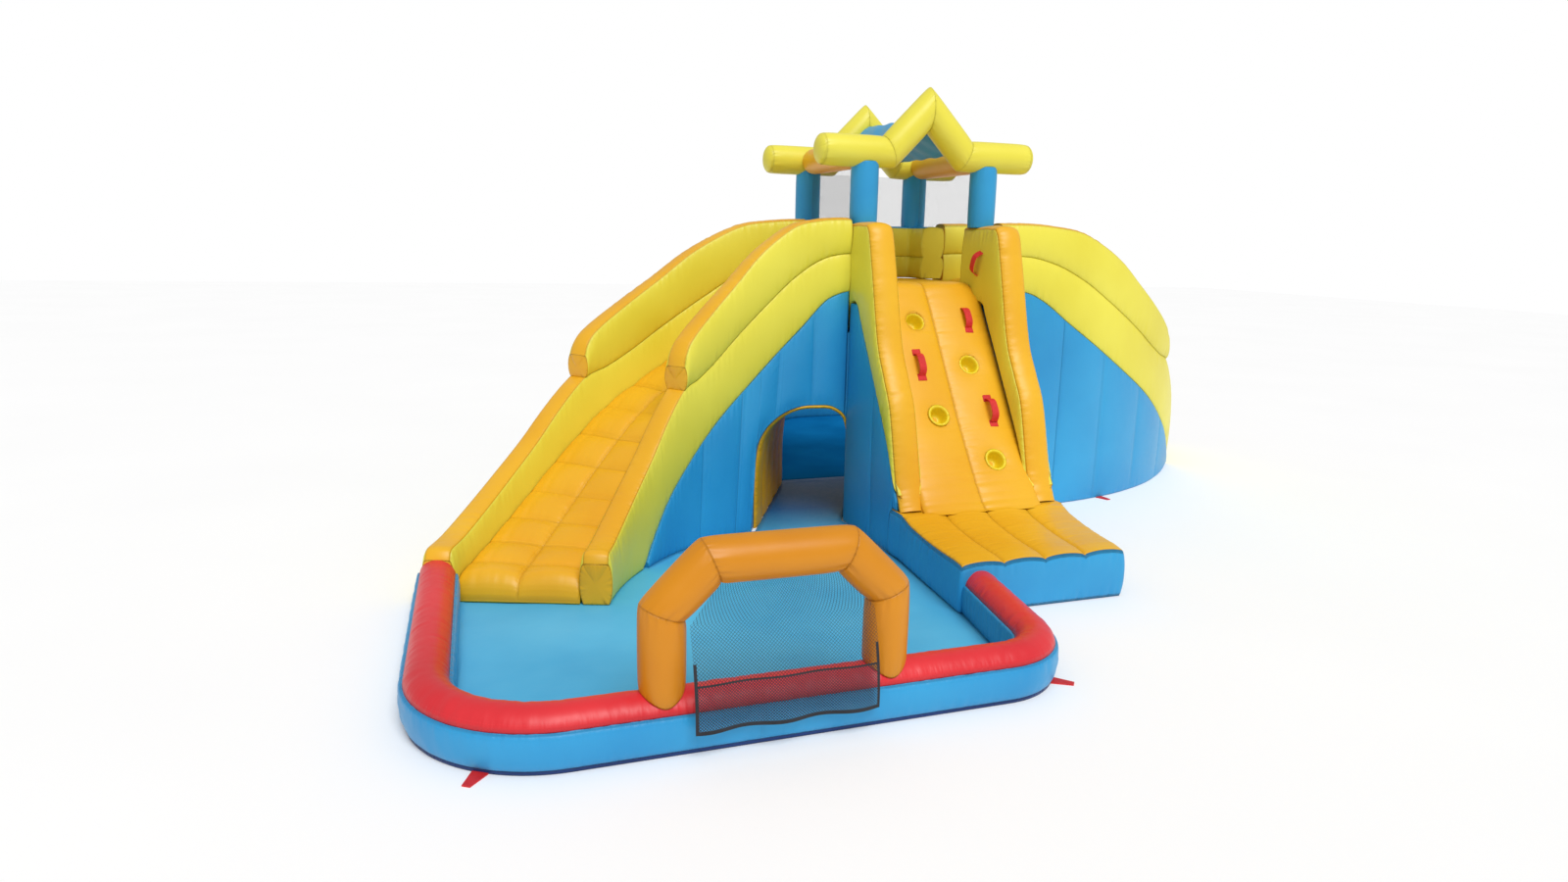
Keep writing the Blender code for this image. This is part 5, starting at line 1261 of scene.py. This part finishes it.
def rim_of(faces):
    """The edges, as pairs of corner numbers in order, that only one face has."""
    edges = {(int(a), int(b)) for face in faces for a, b in zip(face, np.roll(face, -1))}
    return [(a, b) for a, b in edges if (b, a) not in edges]


def top_outline(node):
    """The outline of a thin flat node's upper face, as world points in order."""
    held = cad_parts[node]
    spots = np.array([held.matrix_world @ v.co for v in held.data.vertices])
    merged, number = np.unique(np.round(spots, 5), axis=0, return_inverse=True)
    number = number.ravel()
    faces = [number[list(face.vertices)] for face in held.data.polygons]
    after = dict(rim_of(f for f in faces if (merged[f, 2] > merged[:, 2].max() - 0.0005).all()))
    order = [next(iter(after))]
    while after[order[-1]] != order[0]:
        order.append(after[order[-1]])
    return merged[order]


def make_pool_floor(which, finish):
    """The floor sheet: a fine closed plate inside the node's own outline, with slack ripples."""
    outline = top_outline(f"{which}_pool_floor")
    height, flat = outline[:, 2].max(), outline[:, :2]
    sides = [np.arange(low + FLOOR_STEP / 2, high, FLOOR_STEP) for low, high in zip(flat.min(0), flat.max(0))]
    spots = np.stack(np.meshgrid(*sides), axis=-1).reshape(-1, 1, 2)
    # A spot lies inside where a line from it crosses the outline an odd number of times
    span = np.roll(flat, -1, axis=0) - flat
    out = spots - flat
    passes = (out[..., 1] < 0) != (out[..., 1] < span[:, 1])
    with np.errstate(divide="ignore", invalid="ignore"):
        left = out[..., 0] < span[:, 0] * out[..., 1] / span[:, 1]
    inside = (passes & left).sum(axis=1) % 2 == 1
    share = np.clip((out * span).sum(-1) / (span ** 2).sum(-1), 0, 1)
    away = np.linalg.norm(out - share[..., None] * span, axis=-1).min(axis=1)
    kept = inside & (away > FLOOR_STEP * 0.6)
    corners = [Vector(p) for p in np.concatenate([flat, spots[kept, 0]])]
    points, _, faces, *_ = delaunay_2d_cdt(corners, [], [list(range(len(flat)))], 1, 1e-5)
    points, faces = np.array(points), np.array(faces)
    edge_off = np.concatenate([np.zeros(len(flat)), away[kept]])[:len(points)]
    x, y = points.T
    ripple = np.sin(x * 7.1 + 1.3 * np.sin(y * 4.3)) * np.sin(y * 6.3 + 1.7 * np.sin(x * 3.1 + 1.0))
    ripple = ripple + 0.5 * np.sin(x * 17 - y * 13)
    rise = FLOOR_RIPPLE * ripple * np.clip(edge_off / 0.08, 0, 1) - FLOOR_SLACK * (edge_off > 0)
    top, base = (np.column_stack([points, level]) for level in (height + rise, 0 * rise))
    below, rim = len(points), np.array(rim_of(faces))
    walls = np.column_stack([rim[:, ::-1], rim + below])
    maps = np.tile(np.column_stack([x, edge_off + 0.004]), (2, 1))
    sheet = lay_mesh(f"{which}_pool_floor_sheet", np.concatenate([top, base]),
                     [faces, faces[:, ::-1] + below, walls], maps, np.zeros(2 * len(faces) + len(walls), int),
                     (finish,))
    stands_for(sheet, f"{which}_pool_floor")


make_pool_floor("front", POOL_FLOOR)
make_pool_floor("rear", PAINTED_SHADE_FLOOR)


# Goal
# An orange tube arch with mitred shoulders stands on the front rim, with a slack black net sewn over its
# mouth. The net hangs over the outside of the rim.
GOAL_RADIUS = 0.085
GOAL_X = -1.82
GOAL_HALF_WIDTH = 0.425
GOAL_FOOT_Z = 0.2223
GOAL_SHOULDERS = ((0.425, 0.50), (0.255, 0.670))
GOAL_SWELL, GOAL_GATHER, GOAL_COLUMNS = 0.006, 0.008, 64
NET_FOOT_Z = 0.105
NET_HEM_CELLS = 2
NET_OUT, NET_WAVE = 0.15, 0.012
NET_SEAM = 0.004
GOAL_ORANGE = coated("goal_fabric", screen(222, 146, 10), screen(196, 120, 6))
GOAL_NET = net_fabric("goal_mesh", 0.013, 0.27)
POUCH_NET = net_fabric("pouch_mesh", 0.011, 0.55)


def on_rim(ring):
    """A leg's foot, dropped on the rounded rim below it."""
    off = np.clip(np.abs(ring[:, 1] - TOWER_Y - FRONT_POOL_Y) / (RIM_WIDTH / 2), 0, 0.96)
    return np.column_stack([ring[:, :2], RIM_BASE + RIM_BOW * np.sqrt(1 - off ** 2)])


half_arch = [(GOAL_HALF_WIDTH, GOAL_FOOT_Z), *GOAL_SHOULDERS]
line = [(-across, up) for across, up in half_arch] + half_arch[::-1]
tube("goal_arch", [(GOAL_X + across, FRONT_POOL_Y, up) for across, up in line], GOAL_RADIUS,
     IN_DEPTH, GOAL_ORANGE, (0.0, 0.0), GOAL_SWELL, GOAL_GATHER, GOAL_COLUMNS, on_rim, 760)

down, side_share = grid(70, 60)
net_top = GOAL_SHOULDERS[-1][1] - GOAL_RADIUS + 2 * NET_SEAM
net_z = net_top - (net_top - NET_FOOT_Z) * down
mitre = sum(GOAL_SHOULDERS[0]) - math.sqrt(2) * GOAL_RADIUS
net_half = np.minimum(GOAL_HALF_WIDTH - GOAL_RADIUS, mitre - net_z) + NET_SEAM
net_x = GOAL_X + net_half * (2 * side_share - 1)
net_waves = NET_WAVE * np.sin(np.pi * side_share * 5 + 0.5) * down ** 2
net_y = FRONT_POOL_Y - NET_OUT * (1 - (1 - down) ** 2) - net_waves
goal_net = cloth_sheet("goal_net_mesh", "goal_net", in_tower(net_x, net_y, net_z),
                       (GOAL_NET, BLACK_WEBBING, POUCH_NET), hem=NET_HEM_CELLS)


# Small parts
# Red webbing tabs hinge at the pools' feet for ground stakes, a wrinkled sleeve takes the blower's air, and
# a thin clear hose for the sprinkler is tied along the left side beam.
SLEEVE_RADIUS = 0.09
SLEEVE_LENGTH = 0.25
SLEEVE_SKIN = 0.008
SLEEVE_AT = (-1.42268, 0.21026)
SLEEVE_WAY = (-0.30311, 0.95296)
SLEEVE_HEIGHT = 0.09
SLEEVE_WAIST, SLEEVE_SLACK = 0.010, 0.004
for number in (1, 2, 3):
    dress(f"anchor_tab_{number}", RED_WEBBING)
HOSE = Paint("hose_plastic", 0.3)
spot = HOSE.coordinates("Object")
HOSE.send("Base Color", HOSE.blend(HOSE.noise(spot, 30.0), screen(226, 205, 208), screen(200, 208, 226)))
HOSE.raised(HOSE.noise(spot, 300.0) * 0.0002)
dress("sprinkler_hose", HOSE.material)


def make_sleeve(columns=72, cells=40):
    """The air inlet: an open fabric tube with a turned-in mouth, slack folds and a drawn-in waist."""
    turns = 2 * np.pi * np.arange(columns) / columns
    ahead, aside = np.array([*SLEEVE_WAY, 0.0]), np.array([SLEEVE_WAY[1], -SLEEVE_WAY[0], 0.0])
    outward = np.linspace(0.0, 1.0, cells)
    way = np.concatenate([outward, outward[::-1]])[:, None]
    radius = SLEEVE_RADIUS - 0.005 - SLEEVE_SKIN * 0.6 * (np.arange(2 * cells) >= cells)[:, None]
    slack = folded(turns * SLEEVE_RADIUS, (0.07, 0.05), 790) * arched(way, 0.7)
    size = radius - SLEEVE_WAIST * np.exp(-((way - 0.25) / 0.08) ** 2) + SLEEVE_SLACK * slack
    flat = np.cos(turns)[:, None] * aside + np.sin(turns)[:, None] * UPRIGHT
    points = in_tower(*SLEEVE_AT, SLEEVE_HEIGHT) + ahead * (way * (SLEEVE_LENGTH - 0.002))[..., None]
    points = points + flat * size[..., None]
    points[..., 2] = np.maximum(points[..., 2], 0.0006)
    quads = ring_faces(2 * cells, columns, looped=True)
    maps = seam_map(turns * SLEEVE_RADIUS, way * SLEEVE_LENGTH + 0.01)
    sleeve = lay_mesh("air_inlet_sleeve_fabric", points, [quads], maps, np.zeros(len(quads), int), (BLUE,))
    stands_for(sleeve, "air_inlet_sleeve")


make_sleeve()
